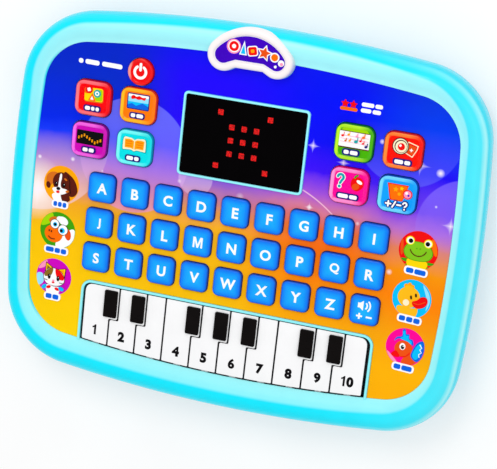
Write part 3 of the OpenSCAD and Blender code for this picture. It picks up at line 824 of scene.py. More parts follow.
def make_screws(steel):
    """Self-tapping screws with a cross in their heads, which face down."""
    for node, name, body, places, head_t in (
        ("case_screws", "screws", "case", SCREW_SPOTS, 1.8),
        ("door_screw", "door_screw_turned", "battery_door", [middle("door_screw")], 1.1),
    ):
        lo, hi = box(node)
        neck = lo.z + head_t
        shape, cuts = Shape(), Shape()
        for x, y in places:
            rings = [(2.1, lo.z), (2.45, lo.z + 0.25), (2.6, lo.z + 0.6), (2.6, neck), (1.3, neck),
                     (1.3, hi.z - 1), (0.5, hi.z)]
            shape.stack([(oval(x, y, r), z) for r, z in rings])
            for turn in (0, 90):
                cuts.prism(tile(x, y, 3, 0.55, 0.1, turn), lo.z - 1, lo.z + head_t * 0.6)
        screws = piece(name, shape, [steel], body, stands_for=[node])
        carve(screws, cuts)


def make_door(shell):
    """The battery door, with a screw tab at its far edge and grip ribs."""
    half_w, axis_y, z0, z1 = 27.95, door_lo.y, door_lo.z, door_hi.z
    far_y, tab_far, tab_half = 22.65, door_hi.y, 6
    bead_r = (z1 - z0) / 2 - 0.1
    mid_z = (z0 + z1) / 2
    shape = Shape()
    start_y = axis_y + bead_r
    right = [(half_w, start_y, 0), (half_w, far_y, 1.5), (tab_half, far_y, 0.8), (tab_half, tab_far, 2.5)]
    plan = filleted([(-half_w, start_y, 0)] + right + [(-x, y, r) for x, y, r in right[:0:-1]])
    shape.stack([(grown(plan, -0.4), z0), (grown(plan, -0.1), z0 + 0.15), (plan, z0 + 0.4), (plan, z1)])
    door = piece("door", shape, [shell], "battery_door", stands_for=["battery_door"])
    cuts = Shape()
    cuts.prism(oval(0, DOOR_SCREW_Y, 2.9), z0 - 1, z0 + 1.2)
    cuts.prism(oval(0, DOOR_SCREW_Y, 1.4), z0 - 1, z1 + 1)
    for k in range(5):
        cuts.prism(tile(0, 19.5 - 2.4 * k, 30 - 2 * k, 0.9, 0.4), z0 - 1, z0 + 0.5)
    carve(door, cuts)
    more = Shape()
    pin = [(-half_w - 1.3, 0.6), (-half_w - 1.1, 0.8), (-half_w, 0.8), (-half_w, bead_r), (half_w, bead_r),
           (half_w, 0.8), (half_w + 1.1, 0.8), (half_w + 1.3, 0.6)]
    more.lathe(pin, (0, axis_y + 1, mid_z))
    piece("door_bead", more, [shell], "battery_door")


# ---------------------------------------------------------------- buttons

KEY_DOME = [(0, 0.95, 0), (0.1, 0.6, 0.03), (0.35, 0.32, 0.08), (0.8, 0.17, 0.14), (1.6, 0.1, 0.3),
            (2.8, 0.05, 0.55), (4.2, 0.015, 0.8), (5.6, 0, 1)]


def button_rings(x, y, w, d, r, lo_z, hi_z, dome):
    """Rings of a button: a lip, straight sides and a domed top given as (inset, drop, share)."""
    lip = tile(x, y, w + 2 * LIP_OUT, d + 2 * LIP_OUT, r + LIP_OUT, steps=7)
    rings = [(lip, lo_z, 0), (lip, lo_z + LIP_T, 0), (tile(x, y, w, d, r, steps=7), lo_z + LIP_T, 0)]
    for inset, drop, share in dome:
        plan = tile(x, y, w - 2 * inset, d - 2 * inset, max(r - inset, 0.6), steps=7)
        rings.append((plan, hi_z - drop, share))
    return rings


def volume_sign(shape, x, y, z0, z1):
    """A loudspeaker with two waves over a plus and a minus."""
    horn = [(-3.6, 1.2), (-2.5, 1.2), (-0.9, -0.1), (-0.9, 4.9), (-2.5, 3.6), (-3.6, 3.6)]
    shape.prism(placed(horn, x, y), z0, z1, 1)
    for r in (1.9, 3.4):
        shape.prism(stroke(arc(x - 0.9, y + 2.4, r, -42, 42, 8), 0.75), z0, z1, 1)
    for cx in (-2.4, 2.4):
        shape.prism(tile(x + cx, y - 3, 3, 0.85, 0.2), z0, z1, 1)
    shape.prism(tile(x - 2.4, y - 3, 0.85, 3, 0.2), z0, z1 + 0.01, 1)


def make_letter_keys():
    blue = plastic("key_blue", key_colour, rough=0.16, gloss=0.16, shade=0.03, grain=(1.5, 0.004))
    for node in KEY_NODES:
        x, y, w, d, low, high = button_size(node)
        shape = Shape()
        shape.stack(button_rings(x, y, w, d, KEY_CORNER_R, low, high, KEY_DOME))
        z0, z1 = high - 0.25, high + 0.05
        if node == "volume_key":
            volume_sign(shape, x + 0.4, y, z0, z1)
        else:
            shape.glyph(node[-1], SIGN_H, x + 0.5, y - 0.1, z0, z1, 0.03, 1)
        piece("cap_" + node, shape, [blue, ink("white")], node, [node])


FUNCTION_DOME = [(0, 1.15, 0), (0.12, 0.7, 0), (0.45, 0.25, 0), (0.9, 0.05, 0), (1.5, 0, 0), (1.9, 0.12, 0),
                 (2.15, 0.3, 0), (2.5, 0.34, 0), (4.5, 0.3, 0), (6.5, 0.28, 0)]


def dot(colour, x, y, rx, ry=None, turn=0):
    """A round or oval patch; each of these gives an ink and an outline."""
    return colour, oval(x, y, rx, ry, turn)


def card(colour, *sizes):
    """A patch with four corners."""
    return colour, tile(*sizes)


def blob(colour, *points):
    """A patch with a smooth edge through the points."""
    return colour, smooth(points)


def line(colour, width, *points):
    """A line from point to point."""
    return colour, stroke(points, width)


def curve(colour, width, *points):
    """A smooth line through the points."""
    return colour, stroke(smooth(points, 4, closed=False), width)


def bars(x, y, w, d, r, gap, colour, parts, turn=0):
    """Plain bars in a row w wide, in place of a word; parts gives the length of each against the others."""
    art = []
    at = -w / 2
    for part in parts:
        long = (w - gap * (len(parts) - 1)) * part / sum(parts)
        art.append((colour, tile(*placed([(at + long / 2, 0)], x, y, turn)[0], long, d, r, turn)))
        at += long + gap
    return art


def words(x, y, w, parts):
    """White bars in a dark line."""
    return [card("navy", x, y, w + 1.1, 3.1, 1.2)] + bars(x, y, w - 0.6, 1.9, 0.7, 0.6, "white", parts)


# Pictures for the function buttons, in millimetres about the middle of the button.


def blocks_art():
    art = [
        card("tan", 0.5, 1.6, 10, 7, 1.2, 2), card("yellow", 0.3, 1.9, 9.6, 6.6, 1, 2),
        card("lime", 3, 1.9, 3.6, 5.6, 0.8, 2), card("orange", -3.6, 3.4, 1.8, 2.6, 0.6),
        dot("red", -2.3, 4.2, 2, turn=10), card("white", -2.3, 4.2, 1.7, 1.7, 0.3, 20),
        dot("teal", 2.1, 2.7, 1.9), dot("white", 2.1, 2.7, 1.15), dot("teal", 2.1, 2.7, 0.5),
        ("orange", [(-2.3, -1.2), (1.5, -1.2), (-0.4, 2.5)]),
        ("white", [(-1.3, -0.6), (0.5, -0.6), (-0.4, 1.2)]),
    ]
    return art + words(0.1, -5, 8, [3, 2, 2])


def picture_art():
    art = [
        card("navy", 0, 2.1, 11.6, 7.9, 0.7), card("sky", 0, 2.1, 10.6, 6.9, 0.4),
        card("pale", 0, 3.7, 10.6, 3.7, 0.4), card("white", 0, 4.9, 10.6, 1.3, 0.4),
        ("blue", [(-5.3, -1.3), (5.3, -1.3), (5.3, 0.3), (2.2, 1.6), (-1, 0), (-3.2, 1), (-5.3, 0.2)]),
        blob("red", (-3.8, 4.3), (-2.6, 5.1), (-1.2, 4.5), (0.4, 5), (2, 4.4), (3.8, 4.6), (3.2, 3.2),
            (1.5, 3.5), (0, 3.1), (-1.6, 3.5), (-3.4, 3.1)),
    ]
    return art + words(0, -4.8, 7, [2, 3])


def led_art():
    art = [card("black", 0.2, 1.1, 14, 7, 0.4)]
    for i in range(9):
        level = (0, 1, 2, 1, 0, -1, -2, -1, 0)[i]
        for step in (0, 1):
            art.append(card("amber", -5.6 + 1.45 * i, 1.1 + 0.75 * level - 0.75 * step, 0.75, 0.6, 0.15))
    return art + words(0.1, -4.8, 6.5, [2, 2])


def book_art():
    page = [(0, -0.6), (-1.5, 0), (-5, -0.2), (-5.9, 0.2), (-5.6, 5.6), (-3, 5.9), (-1.2, 5.7), (0, 5)]
    cover = smooth(page + [(-x, y) for x, y in reversed(page[1:-1])], 3)
    art = [("teal", placed(cover, 0.1, -1.35, size=1.08)), ("cream", placed(cover, 0, -0.95))]
    for side in (-1, 1):
        leaf = [(side * 0.25, 0.3), (side * 1.6, 0.8), (side * 4.9, 0.7), (side * 5.1, 5),
                (side * 3, 5.2), (side * 1.3, 5), (side * 0.25, 4.3)]
        art.append(("amber", placed(leaf if side > 0 else leaf[::-1], 0, -0.95)))
        for k in range(3):
            art.append(card("orange", side * 2.8, 0.8 + 1.15 * k, 3.4, 0.4, 0.2))
    return art + words(-0.2, -5.1, 7, [3, 2])


def sheet_art():
    art = [card("lime", 0, 4.6, 13.5, 4.4, 2), card("brown", 0.1, 1.3, 15.6, 8.2, 0.5),
           card("white", 0, 1.4, 14.8, 7.3, 0.3)]
    for k in range(3):
        art.append(card("rose", 0, 1.5 * k, 13.6, 0.2, 0.1))
    notes = [("red", -5.8, 2.8, 0.8), ("amber", -3, 3.6, 0.7), ("tan", -4.2, 0.6, 0.6),
             ("amber", -2.2, 0.8, 0.6), ("teal", 0.9, 0.8, 1), ("red", 3, 1.4, 0.6), ("red", 4.4, 0.4, 0.6),
             ("navy", 6, -0.9, 0.8), ("orange", 4.3, 3.3, 0.8), ("rose", 1, 3.4, 0.6)]
    for colour, x, y, r in notes:
        art += [dot(colour, x, y, r * 0.9, r * 0.7, 15),
                card(colour, x + r * 0.7, y + r * 1.1, 0.25, r * 2.2, 0.1)]
    return art + words(-0.9, -4.6, 7.4, [2, 3])


def disc_art():
    sleeve = placed([(-2, -2.4), (2, -2.8), (2.6, 0.9), (2.4, 2.6), (-2, 2.4)], 3.5, 1.6, -18)
    art = [
        ("cream", grown(sleeve, 0.45)), ("red", sleeve), ("rust", placed(sleeve, 0.7, 0.2, size=0.8)),
        dot("black", -1.4, 2.3, 4), dot("cream", -1.4, 2.3, 3.6), dot("black", -1.2, 2.2, 3.1),
        dot("cream", -1.1, 2.1, 2.75), dot("red", -1, 2.1, 1.7), dot("white", -1.5, 2.6, 0.6),
        dot("red", -0.9, 2, 0.35), ("white", star(3.9, 1.2, 1, 0.45, 4, 0)),
    ]
    return art + words(0.4, -5.1, 8.2, [3, 2])


def question_art():
    hook = arc(-4.3, 3.8, 1.4, 170, -50, 12) + [(-3.9, 1.8), (-4.3, 1)]
    body = smooth([(1.4, 3.8), (3, 4.9), (5.4, 4.8), (7, 3.2), (6.9, 0.8), (5.2, -1.2), (3.4, -1.7),
                   (1.6, -0.6), (0.9, 1.4)])
    art = [
        ("white", stroke(hook, 1.9)), dot("white", -4.5, -0.6, 1.1), ("teal", stroke(hook, 1.2)),
        dot("teal", -4.5, -0.6, 0.7), ("orange", grown(body, 0.4)), ("red", body),
        dot("rust", 3.4, 0.4, 1.9, 1.5, 30), dot("white", 5, 2.8, 1.5, 0.8, -25),
        line("green", 0.8, (2.6, 4.6), (3, 5.4), (3.8, 5.9)),
    ]
    return art + words(0, -4.9, 10, [4, 3])


def sums_art():
    pail = [(-5.2, 5.2), (-3.4, -2.3), (-2.8, -2.8), (2.4, -2.8), (3, -2.3), (5, 5.2)]
    art = [
        ("red", pail), ("orange", placed(pail, 0.1, 0.1, size=0.9)), ("amber", star(-1, 2.6, 1.5, 0.7)),
        ("yellow", star(1.8, 3.4, 1.1, 0.5)), dot("amber", 0.9, 0.6, 0.8), dot("red", 4.9, 1, 2.3),
        dot("rose", 4.9, 1, 1.8), dot("white", 4.4, 1.6, 0.7), dot("violet", 5.4, 0.6, 0.5),
    ]
    for colour, wide in (("navy", 1.7), ("white", 0.8)):
        art += [
            line(colour, wide, (-4.9, -4.6), (-2.5, -4.6)), line(colour, wide, (-3.7, -3.4), (-3.7, -5.8)),
            line(colour, wide, (-1.6, -6), (-0.3, -3.2)), line(colour, wide, (0.6, -4.6), (2.4, -4.6)),
            line(colour, wide, *arc(4.3, -3.9, 0.9, 170, -60, 8), (4.3, -5.1)),
            dot(colour, 4.3, -6.3, wide * 0.55),
        ]
    return art


BUTTON_LOOKS = {
    # Picture, and the colours of the middle, the raised border (a painted highlight) and the sides (darker,
    # as painted shade)
    "blocks": (blocks_art, (250, 0, 10), (255, 120, 130), (200, 0, 40)),
    "picture": (picture_art, (255, 122, 0), (255, 190, 25), (222, 45, 8)),
    "led": (led_art, (205, 0, 180), (252, 105, 235), (125, 0, 130)),
    "book": (book_art, (0, 222, 228), (120, 250, 248), (0, 150, 180)),
    "sheet": (sheet_art, (70, 178, 0), (190, 245, 35), (15, 120, 25)),
    "disc": (disc_art, (255, 15, 0), (255, 140, 50), (215, 22, 0)),
    "question": (question_art, (255, 0, 150), (255, 150, 215), (228, 0, 110)),
    "sums": (sums_art, (10, 160, 255), (115, 220, 255), (0, 75, 175)),
}


def add_art(shape, art, x, y, z, first=0):
    """Prints pictures as thin layers, each a little higher than the last; returns their inks."""
    names = []
    for k, (colour, outline) in enumerate(art):
        if colour not in names:
            names.append(colour)
        plan = placed(counter_clockwise(outline), x, y)
        shape.prism(plan, z - 0.05, z + LAYER * (k + 1), first + names.index(colour))
    return [ink(name) for name in names]


def counter_clockwise(outline):
    area = sum(a[0] * b[1] - b[0] * a[1] for a, b in zip(outline, outline[1:] + outline[:1]))
    return outline if area > 0 else outline[::-1]


def border_colour(x, y, strong, pale):
    """The raised border of a button at (x, y): a painted highlight, pale along its left, far and near sides.
    """
    def colour(g):
        at = g.add("ShaderNodeSeparateXYZ", g.place)
        left = g.range(at.outputs[0], (x - 6.3) * MM, (x - 8) * MM, kind="SMOOTHSTEP")
        rows = g.math("ABSOLUTE", g.math("SUBTRACT", at.outputs[1], y * MM))
        rows = g.range(rows, 5.8 * MM, 7.2 * MM, 0, 0.8, kind="SMOOTHSTEP")
        rows = g.math("MULTIPLY", rows, g.range(at.outputs[0], (x + 8) * MM, (x + 2) * MM))
        return g.blend(g.math("MAXIMUM", left, rows), linear(*strong), linear(*pale))
    return colour


def make_function_buttons():
    for name in FUNCTIONS:
        node = "button_" + name
        x, y, w, d, low, high = button_size(node)
        art, field, border, side = BUTTON_LOOKS[name]
        # Painted shade on the sides, and a painted highlight on the raised border
        paints = [plastic(node + "_side", side, gloss=0.2),
                  plastic(node + "_border", border_colour(x, y, field, border), rough=0.16, gloss=0.2),
                  plastic(node + "_field", field, rough=0.2, gloss=0.08)]
        rings = button_rings(x, y, w, d, FUNCTION_CORNER_R, low, high, FUNCTION_DOME)
        shape = Shape()
        shape.stack(rings, [0] * 5 + [1] * 4 + [2] * (len(rings) - 9))
        paints += add_art(shape, art(), x, y, high - 0.3, len(paints))
        piece("face_" + node, shape, paints, node, [node])


def make_power_button():
    lo, hi = box("power_button")
    x, y = middle("power_button")
    r = (hi.y - lo.y) / 2
    shape = Shape()
    dome = [(0, 1.1), (0.12, 0.6), (0.45, 0.2), (0.9, 0.03), (1.3, 0.05), (1.6, 0.25), (2.2, 0.3), (4, 0.25)]
    rings = [(oval(x, y, r, steps=64), lo.z)]
    rings += [(oval(x, y, r - inset, steps=64), hi.z - drop) for inset, drop in dome]
    shape.stack(rings, [0, 0, 1, 1, 1, 1, 0, 0, 0])
    shape.prism(tile(x, y, 2 * (r + LIP_OUT), 6, 1), lo.z, lo.z + LIP_T)
    # A painted highlight along the left of the raised border
    paints = [plastic("power_red", (240, 4, 8), rough=0.2, gloss=0.1),
              plastic("power_border", border_colour(x + 2.5, y, (240, 10, 16), (255, 150, 140)), 0.16, 0.2)]
    sign = [("white", stroke(arc(0, 0, 2.9, 125, 415, 24), 1.35)), line("white", 1.35, (0, 1), (0, 3.9))]
    paints += add_art(shape, sign, x, y, hi.z - 0.22, len(paints))
    piece("power_cap", shape, paints, "power_button", ["power_button"])


# ---------------------------------------------------------------- the piano


def high_x(i):
    """Upper part of the boundary between piano keys i and i + 1."""
    return low_x(i) + (PIANO_STEP if i in STEPPED else 0)


def piano_plan(n):
    """Plan of white key number n, with a wing over the next key where there is a step."""
    gap, front_gap, i = PIANO_GAP + 0.14, 1.15, n - 1
    wing_y, notch_y = PIANO_STEP_Y + gap / 2, PIANO_STEP_Y - gap / 2
    low = (low_x(i) + gap, low_x(n) - gap)
    high = (high_x(i) + gap, high_x(n) - gap)
    corners = []
    for k in range(5):
        x = mix(low[0], low[1], k / 4)
        corners.append((x, near_edge(x) + front_gap, 0.5 if k in (0, 4) else 0))
    if high[1] > low[1] + 1:
        corners += [(low[1], wing_y, 0.9), (high[1], wing_y, 0.9)]
    corners.append((high[1], PIANO_FAR_Y, PIANO_CORNER_R if n == PIANO_KEYS else 0.4))
    corners.append((high[0], PIANO_FAR_Y, PIANO_CORNER_R if n == 1 else 0.4))
    if high[0] > low[0] + 1:
        corners += [(high[0], notch_y, 0.9), (low[0], notch_y, 0.9)]
    return filleted(corners)


def make_piano():
    white = plastic("piano_white", (247, 247, 248), rough=0.2, gloss=0.4, shade=0.012, grain=(2, 0.004))
    black = plastic("piano_black", (10, 6, 6), rough=0.3, gloss=0.06, shade=0.25, grain=(0.8, 0.01))
    # The sides of the white keys are dark grey as painted shade
    side_shade = plastic("key_side", (34, 34, 40), rough=0.5, gloss=0.2)
    for n in range(1, PIANO_KEYS + 1):
        node = f"piano_key_{n}"
        x = tab_x(n - 1)
        hinge_y, hinge_z = near_edge(x) - 2.2, DECK_Z + 0.9
        shape = Shape()
        plan = piano_plan(n)
        shape.prism(plan, DECK_Z + 0.3, PIANO_TOP - 0.5, 3)
        shape.plate(plan, PIANO_TOP - 0.5, PIANO_TOP, 0.2)
        for side in (-1, 1):
            ends = sorted((x + side * 2.4, x + side * 6.6))
            ledge = [(at, near_edge(at) + 0.45) for at in ends]
            ledge += [(at, near_edge(at) + 1.8) for at in ends[::-1]]
            shape.prism(ledge, DECK_Z + 0.3, PIANO_TOP - 0.7, 3)
        tab = [(x - 1.7, hinge_y), (x + 1.7, hinge_y), (x + 1.7, hinge_y + 4), (x - 1.7, hinge_y + 4)]
        shape.prism(tab, hinge_z - 0.6, hinge_z + 0.6)
        shape.lathe([(-2.3, 0.8), (-2.1, 1), (2.1, 1), (2.3, 0.8)], (x, hinge_y, hinge_z))
        digits = str(n)
        for k, digit in enumerate(digits):
            at = x - 0.7 + (k - (len(digits) - 1) / 2) * 3.5
            bold = 0.05 if digit == "6" else 0.06
            shape.glyph(digit, SIGN_H, at, near_edge(x) + 7.6, PIANO_TOP - 0.1, PIANO_TOP + LAYER, bold, 1)
        if n in STEPPED:
            outline = tile(low_x(n) + 0.35, PIANO_FAR_Y - 8.3, 6.9, 14, 0.7)
            shape.plate(outline, PIANO_TOP - 0.2, PIANO_TOP + 1.4, 0.45, 2)
        piece(f"keytop_{n}", shape, [white, ink("black"), black, side_shade], node, [node], 25)


# ---------------------------------------------------------------- screen and badge


def make_window():
    glass = plastic("window_black", (2, 1, 2), rough=0.12, gloss=0.02, shade=0.2, grain=(4, 0.004))
    shape = Shape()
    shape.plate(tile(0, WINDOW_Y, WINDOW_W, WINDOW_D, 1.1, steps=8), window_lo.z, window_hi.z, 0.2)
    piece("display_window", shape, [glass], stands_for=["screen_window"])
    lamps = Shape()
    lit = [(i, j) for i in (-1, 0, 1) for j in (-1, 0, 1)] + [(i, j) for i in (-2, 2) for j in (-2, 2)]
    for i, j in lit:
        plan = tile(i * 6.25, WINDOW_Y + j * 6.55, 2.7, 2.7, 0.35)
        lamps.prism(plan, window_hi.z - 0.05, window_hi.z + LAYER)
    g = Graph("lamp_red")
    patch = g.range(g.noise(0.7, 2), 0.42, 0.58)
    g.set(Base_Color=linear(120, 0, 0), Roughness=0.3, Specular_IOR_Level=0.2)
    g.set(Emission_Color=g.blend(patch, linear(240, 10, 8), linear(120, 0, 0)), Emission_Strength=0.9)
    piece("display_lamps", lamps, [g.material])


def make_badge():
    white = plastic("badge_white", (247, 240, 240), rough=0.2, gloss=0.3, shade=0.01, grain=(2, 0.004))
    violet = plastic("badge_violet", (62, 0, 188), rough=0.25, gloss=0.05, shade=0.08, grain=(1, 0.004))
    top = badge_hi.z
    profile = [(0, badge_lo.z - top), (0, -1.9), (0.12, -1.25), (0.45, -0.65), (1, -0.2), (1.6, -0.02),
               (2.3, -0.02), (2.9, -0.2), (3.4, -0.6), (3.7, -1.1), (3.9, -1.1)]
    shape = Shape()
    shape.stack([(badge_outline(-inset), top + drop) for inset, drop in profile], [0] * 10 + [1])
    art = [
        dot("violet", -8.6, 84.4, 3.9), dot("rose", -8.4, 84.6, 3.5), dot("white", -8.3, 84.7, 2.9),
        dot("red", -8.3, 84.7, 2.4), dot("white", -8.3, 84.7, 1),
        ("white", [(-5.4, 81.2), (-1.6, 81.2), (-3.3, 88)]),
        ("sky", [(-4.7, 81.7), (-2.3, 81.7), (-3.4, 86.3)]), card("white", 1.1, 83.7, 5.2, 4.9, 1.2, 12),
        card("red", 1.1, 83.7, 4.2, 3.9, 0.9, 12), card("amber", 1.1, 83.7, 1.8, 1.6, 0.5, 12),
        ("white", star(7, 83.6, 4.1, 2.1, 5, 80)), ("rust", star(7, 83.6, 3.1, 1.5, 5, 80)),
        dot("white", 12.2, 82.3, 2.3), dot("orange", 12.2, 82.3, 1.7), dot("white", 15.6, 80, 1.5),
        dot("rose", 15.9, 79.6, 0.8), dot("white", 13, 78, 0.65),
    ]
    paints = [white, violet] + add_art(shape, art, 0, FACE_Y, top - 1.1, 2)
    piece("crest_badge", shape, paints, stands_for=["badge"])


# ---------------------------------------------------------------- pictures printed on the face


def dog():
    return [
        dot("amber", 0, 0, 9.5),
        blob("tan", (-2.4, 5.2), (-5.6, 5.6), (-8, 3.6), (-8.3, 0.6), (-7, -1.6), (-4.6, -0.2)),
        dot("brown", -7, -1.3, 1.2, 1.7, 15),
        blob("brown", (1, 6.2), (4.5, 5.2), (7.4, 2.2), (8.8, -2.2), (7.4, -4.9), (5, -5.4), (3.2, -3)),
        blob("white", (-4.6, -6), (-2.2, -4.4), (0.4, -4.6), (1.6, -7.4), (0.6, -9.2), (-3, -8.9)),
        blob("brown", (0, -4.4), (3.6, -4), (5.2, -7.2), (3.2, -8.7), (1.4, -8.9)),
        dot("brown", -0.2, 1.2, 4.5, 4.9), curve("black", 0.3, (3, 5), (4.3, 2.4), (4.6, -0.6), (5.2, -3.8)),
        blob("white", (-0.9, 5.2), (-0.1, 5.3), (0, 3), (-0.4, 0.4), (0.3, -1.7), (3, -2.2), (3.6, -3.5),
            (0.4, -5.2), (-3, -4.7), (-4.6, -2.9), (-3.6, -2), (-1.8, -1.4), (-1.5, 0.6), (-1.3, 3)),
        dot("black", -2.8, 0, 0.75, 1.1), dot("white", -2.6, 0.4, 0.16), dot("black", 1.4, -0.2, 0.85, 1.15),
        dot("white", 1.6, 0.2, 0.18), dot("black", -1.4, -2.3, 1.05, 0.8), dot("red", -1.5, -4, 0.9, 0.65),
        dot("tan", 3.5, -3.1, 0.9, 0.6, 20), dot("tan", 2.2, 2.9, 0.9, 0.45, -30),
    ]


def sheep():
    return [
        dot("green", 0, 0, 9.5),
        blob("lime", (-9, 1.4), (-8.2, 4.6), (-6, 7.1), (-3.4, 8.5), (-2.8, 5), (-5.6, 2.4)),
        blob("white", (1, -3.6), (4.4, -1.4), (6.6, 1.4), (9, 1.6), (9, -2.6), (7, -6.2), (3.6, -8.5),
            (0.2, -9.2), (-0.6, -6.8)), dot("rust", 5.6, -1.2, 1.7, 3, 12),
        dot("tan", -2.6, 5.2, 2.6, 1.6, 20), dot("orange", -2, -1.9, 4.9, 4.5, -10),
        dot("white", 2.6, 5.4, 2.8, 2, -25), dot("white", 0.6, 6.2, 1.6, 1.3), dot("brown", -1.7, 3.2, 2.5),
        dot("white", -1.7, 3.2, 2.25), dot("brown", 2.9, 0.8, 2.75), dot("white", 2.9, 0.8, 2.5),
        dot("sky", -1.5, 3, 1.15), dot("black", -1.5, 3, 0.75), dot("sky", 2.6, 0.4, 1.4),
        dot("black", 2.1, 0.3, 0.85), curve("brown", 0.35, (-4.6, -3.6), (-3.2, -4.6), (-1.2, -4.6)),
        dot("brown", -4.4, -0.6, 0.3, 0.5), dot("brown", -3.2, -0.9, 0.3, 0.5),
    ]


def cat():
    face = [(-4.9, 1.4), (-3, 3.8), (0, 4.4), (3.4, 3.4), (5.5, 0.8), (5.6, -2.2), (3.4, -4), (0, -4.6),
            (-3.6, -3.8), (-5.3, -1.2)]
    return [
        dot("magenta", 0, 0, 9.5), blob("rose", (-8.6, 3), (-6.6, 6.4), (-4.2, 7.9), (-5, 4.6)),
        blob("pale", (-9.1, 0.4), (-6.2, 0.6), (-5.4, -3.4), (-7.6, -5.6), (-9, -3)),
        ("brown", [(-5, 1.2), (-4.8, 7.2), (-0.2, 4.4)]), ("brown", [(1.4, 4.2), (6.5, 5.4), (6, 0.2)]),
        ("yellow", [(-4.6, 1.4), (-4.4, 6.6), (-0.6, 4.2)]),
        ("olive", [(-4.2, 2), (-3.9, 5.6), (-1.2, 3.8)]),
        ("yellow", [(1.8, 4), (6, 5), (5.6, 0.6)]), ("amber", [(2.4, 3.8), (5.3, 4.3), (5, 1.2)]),
        ("brown", placed(smooth(face), 0, 0, size=1.05)), ("white", smooth(face)),
        blob("olive", (-5, 1.2), (-3, 3.7), (-0.6, 4.3), (-0.8, 2), (-1.8, 0.4), (-4.6, -0.4)),
        blob("red", (0.8, 4.3), (3.4, 3.4), (5.5, 0.8), (5.3, -1), (2.6, -0.8), (1.2, 1.2)),
        dot("black", -2.4, -0.1, 0.8, 1.35), dot("white", -2.2, 0.5, 0.18),
        dot("black", 2.5, -0.5, 0.8, 1.35), dot("white", 2.7, 0.1, 0.18), dot("rose", 0, -1.9, 0.6, 0.4),
        dot("red", 0, -2.9, 0.7, 0.45), line("black", 0.2, (-3.2, -2.2), (-5, -1.9)),
        line("black", 0.2, (3.4, -2.6), (5.2, -2.6)),
        blob("white", (-3.4, -4.6), (0.4, -5), (3.6, -5), (3, -8.7), (0, -9.2), (-3, -8.8)),
        dot("red", -2.2, -5.6, 1.3, 0.8, 25), dot("red", 2.4, -6, 1.3, 0.8, -15),
        dot("sky", -4.6, -5.8, 1.5, 1, 40), dot("sky", 4.6, -5.6, 1.5, 0.9, -20),
    ]


def frog():
    head = [(-7, -0.2), (-4.6, 3.4), (0, 4.3), (4.8, 3.2), (7.2, -0.4), (6, -3.6), (2.8, -5), (-2.8, -5),
            (-6, -3.4)]
    return [
        dot("red", 0, 0, 9.5), dot("orange", 7.4, 2.6, 1.2, 4.2, 18), dot("rust", -8, 0.6, 0.7, 4, 4),
        blob("green", (-7.6, -4.8), (-6.6, -6), (-4.4, -6.4), (-5.6, -7.8), (-3, -7.4), (-3.4, -4.8)),
        blob("green", (8, -5), (6.8, -6.2), (4.6, -6.4), (5.8, -7.6), (3.4, -7.6), (3, -5.2)),
        blob("yellow", (-4.2, -4.4), (4.4, -4.8), (4.4, -8.3), (0, -9.4), (-4.2, -8.3)),
        ("green", smooth(head)), ("leaf", placed(smooth(head), 0, 0, size=0.95)),
        dot("lemon", -4.4, 4.3, 2.1), dot("white", -4.4, 4.3, 1.6), dot("black", -4.1, 4.2, 1.1),
        dot("lemon", 4.4, 4.1, 2.1), dot("white", 4.4, 4.1, 1.6), dot("black", 4.1, 4, 1.1),
        ("brown", stroke(arc(0, 1.4, 4.1, 200, 340, 14), 0.42)), dot("green", -0.8, 1, 0.25),
        dot("green", 0.8, 1, 0.25),
    ]


def duck():
    return [
        dot("sky", 0, 0, 9.5), blob("pale", (4.6, 7.6), (7.6, 4.4), (8.8, 0), (7.4, -4.6), (7.4, 0.2)),
        blob("gold", (-6, -4.2), (0, -4.6), (3.4, -4.4), (2.4, -8.9), (-2.4, -9.1), (-6.4, -6.8)),
        dot("gold", -1.5, 0.6, 5.4, 5.2), dot("amber", -3.4, 6, 1.1, 1), dot("amber", -1.8, 6.6, 1, 1.2),
        dot("amber", -0.4, 6, 1, 0.9), dot("gold", -1.9, 5.2, 2.2, 1.2),
        blob("red", (0.4, -1.4), (2.6, -0.2), (4.4, 1.6), (6.8, 1.8), (7.8, -0.4), (6.6, -2.8), (3.6, -4.2),
            (1.2, -3.4)), curve("rust", 0.35, (1, -1.8), (3.6, -2), (6.6, -0.4)),
        dot("black", -0.4, 0.7, 0.45, 1, 12), dot("black", 1.8, 2.1, 0.45, 0.95, 12),
        dot("cream", -2.5, -2.2, 1.55),
    ]


def bird():
    return [
        dot("pink", 0, 0, 9.5), blob("rose", (-8.6, -3.2), (-6.2, -7), (-2.4, -9), (-5, -6)),
        blob("blue", (-2.2, 8.4), (-0.9, 8.9), (-0.2, 6.6), (1.2, 6.7), (1.6, 4.6), (3.2, 4.2), (3.8, 1.4),
            (1, 2.6), (-3.4, 3.8), (-5.6, 2.2), (-4.6, 4.4), (-2.2, 5.4)),
        blob("sky", (-1.9, 7.6), (-1, 8), (-0.4, 6), (1, 5.9), (1.2, 4.3), (2.6, 3.6), (2.8, 2), (0.6, 3),
            (-2.8, 4), (-1.7, 5.2)),
        blob("rust", (1.2, -4), (4.4, -3.2), (6.8, -5), (4.2, -8.3), (0, -9.2), (-1, -6.8)),
        dot("rust", -0.7, -1, 4.4, 4.2),
        blob("blue", (3.6, -1.2), (5.6, 3.2), (8.4, 4.4), (9.3, 0.2), (8.3, -4), (6.2, -6.2), (3.4, -4.2)),
        blob("sky", (4.2, -1.4), (5.9, 2.2), (7.6, 3), (7.9, -0.4), (7, -3.8), (5.6, -5.2), (4, -3.8)),
        line("white", 0.4, (7, 2.6), (8.1, 1.2), (7.2, 0.2), (8.2, -1.2), (7, -2.2), (7.4, -3.6)),
        blob("red", (-4.4, -2.4), (-6.4, -4.4), (-4.6, -5.6), (-2.2, -5.2), (-2.8, -3.6)),
        dot("white", -1.3, 0.2, 1.45, 1.7), dot("black", -1.2, -0.1, 0.85, 1.05),
        dot("white", -0.9, 0.4, 0.3), curve("red", 0.35, (-1.6, -5), (0.8, -4.4), (2.6, -2.4)),
    ]


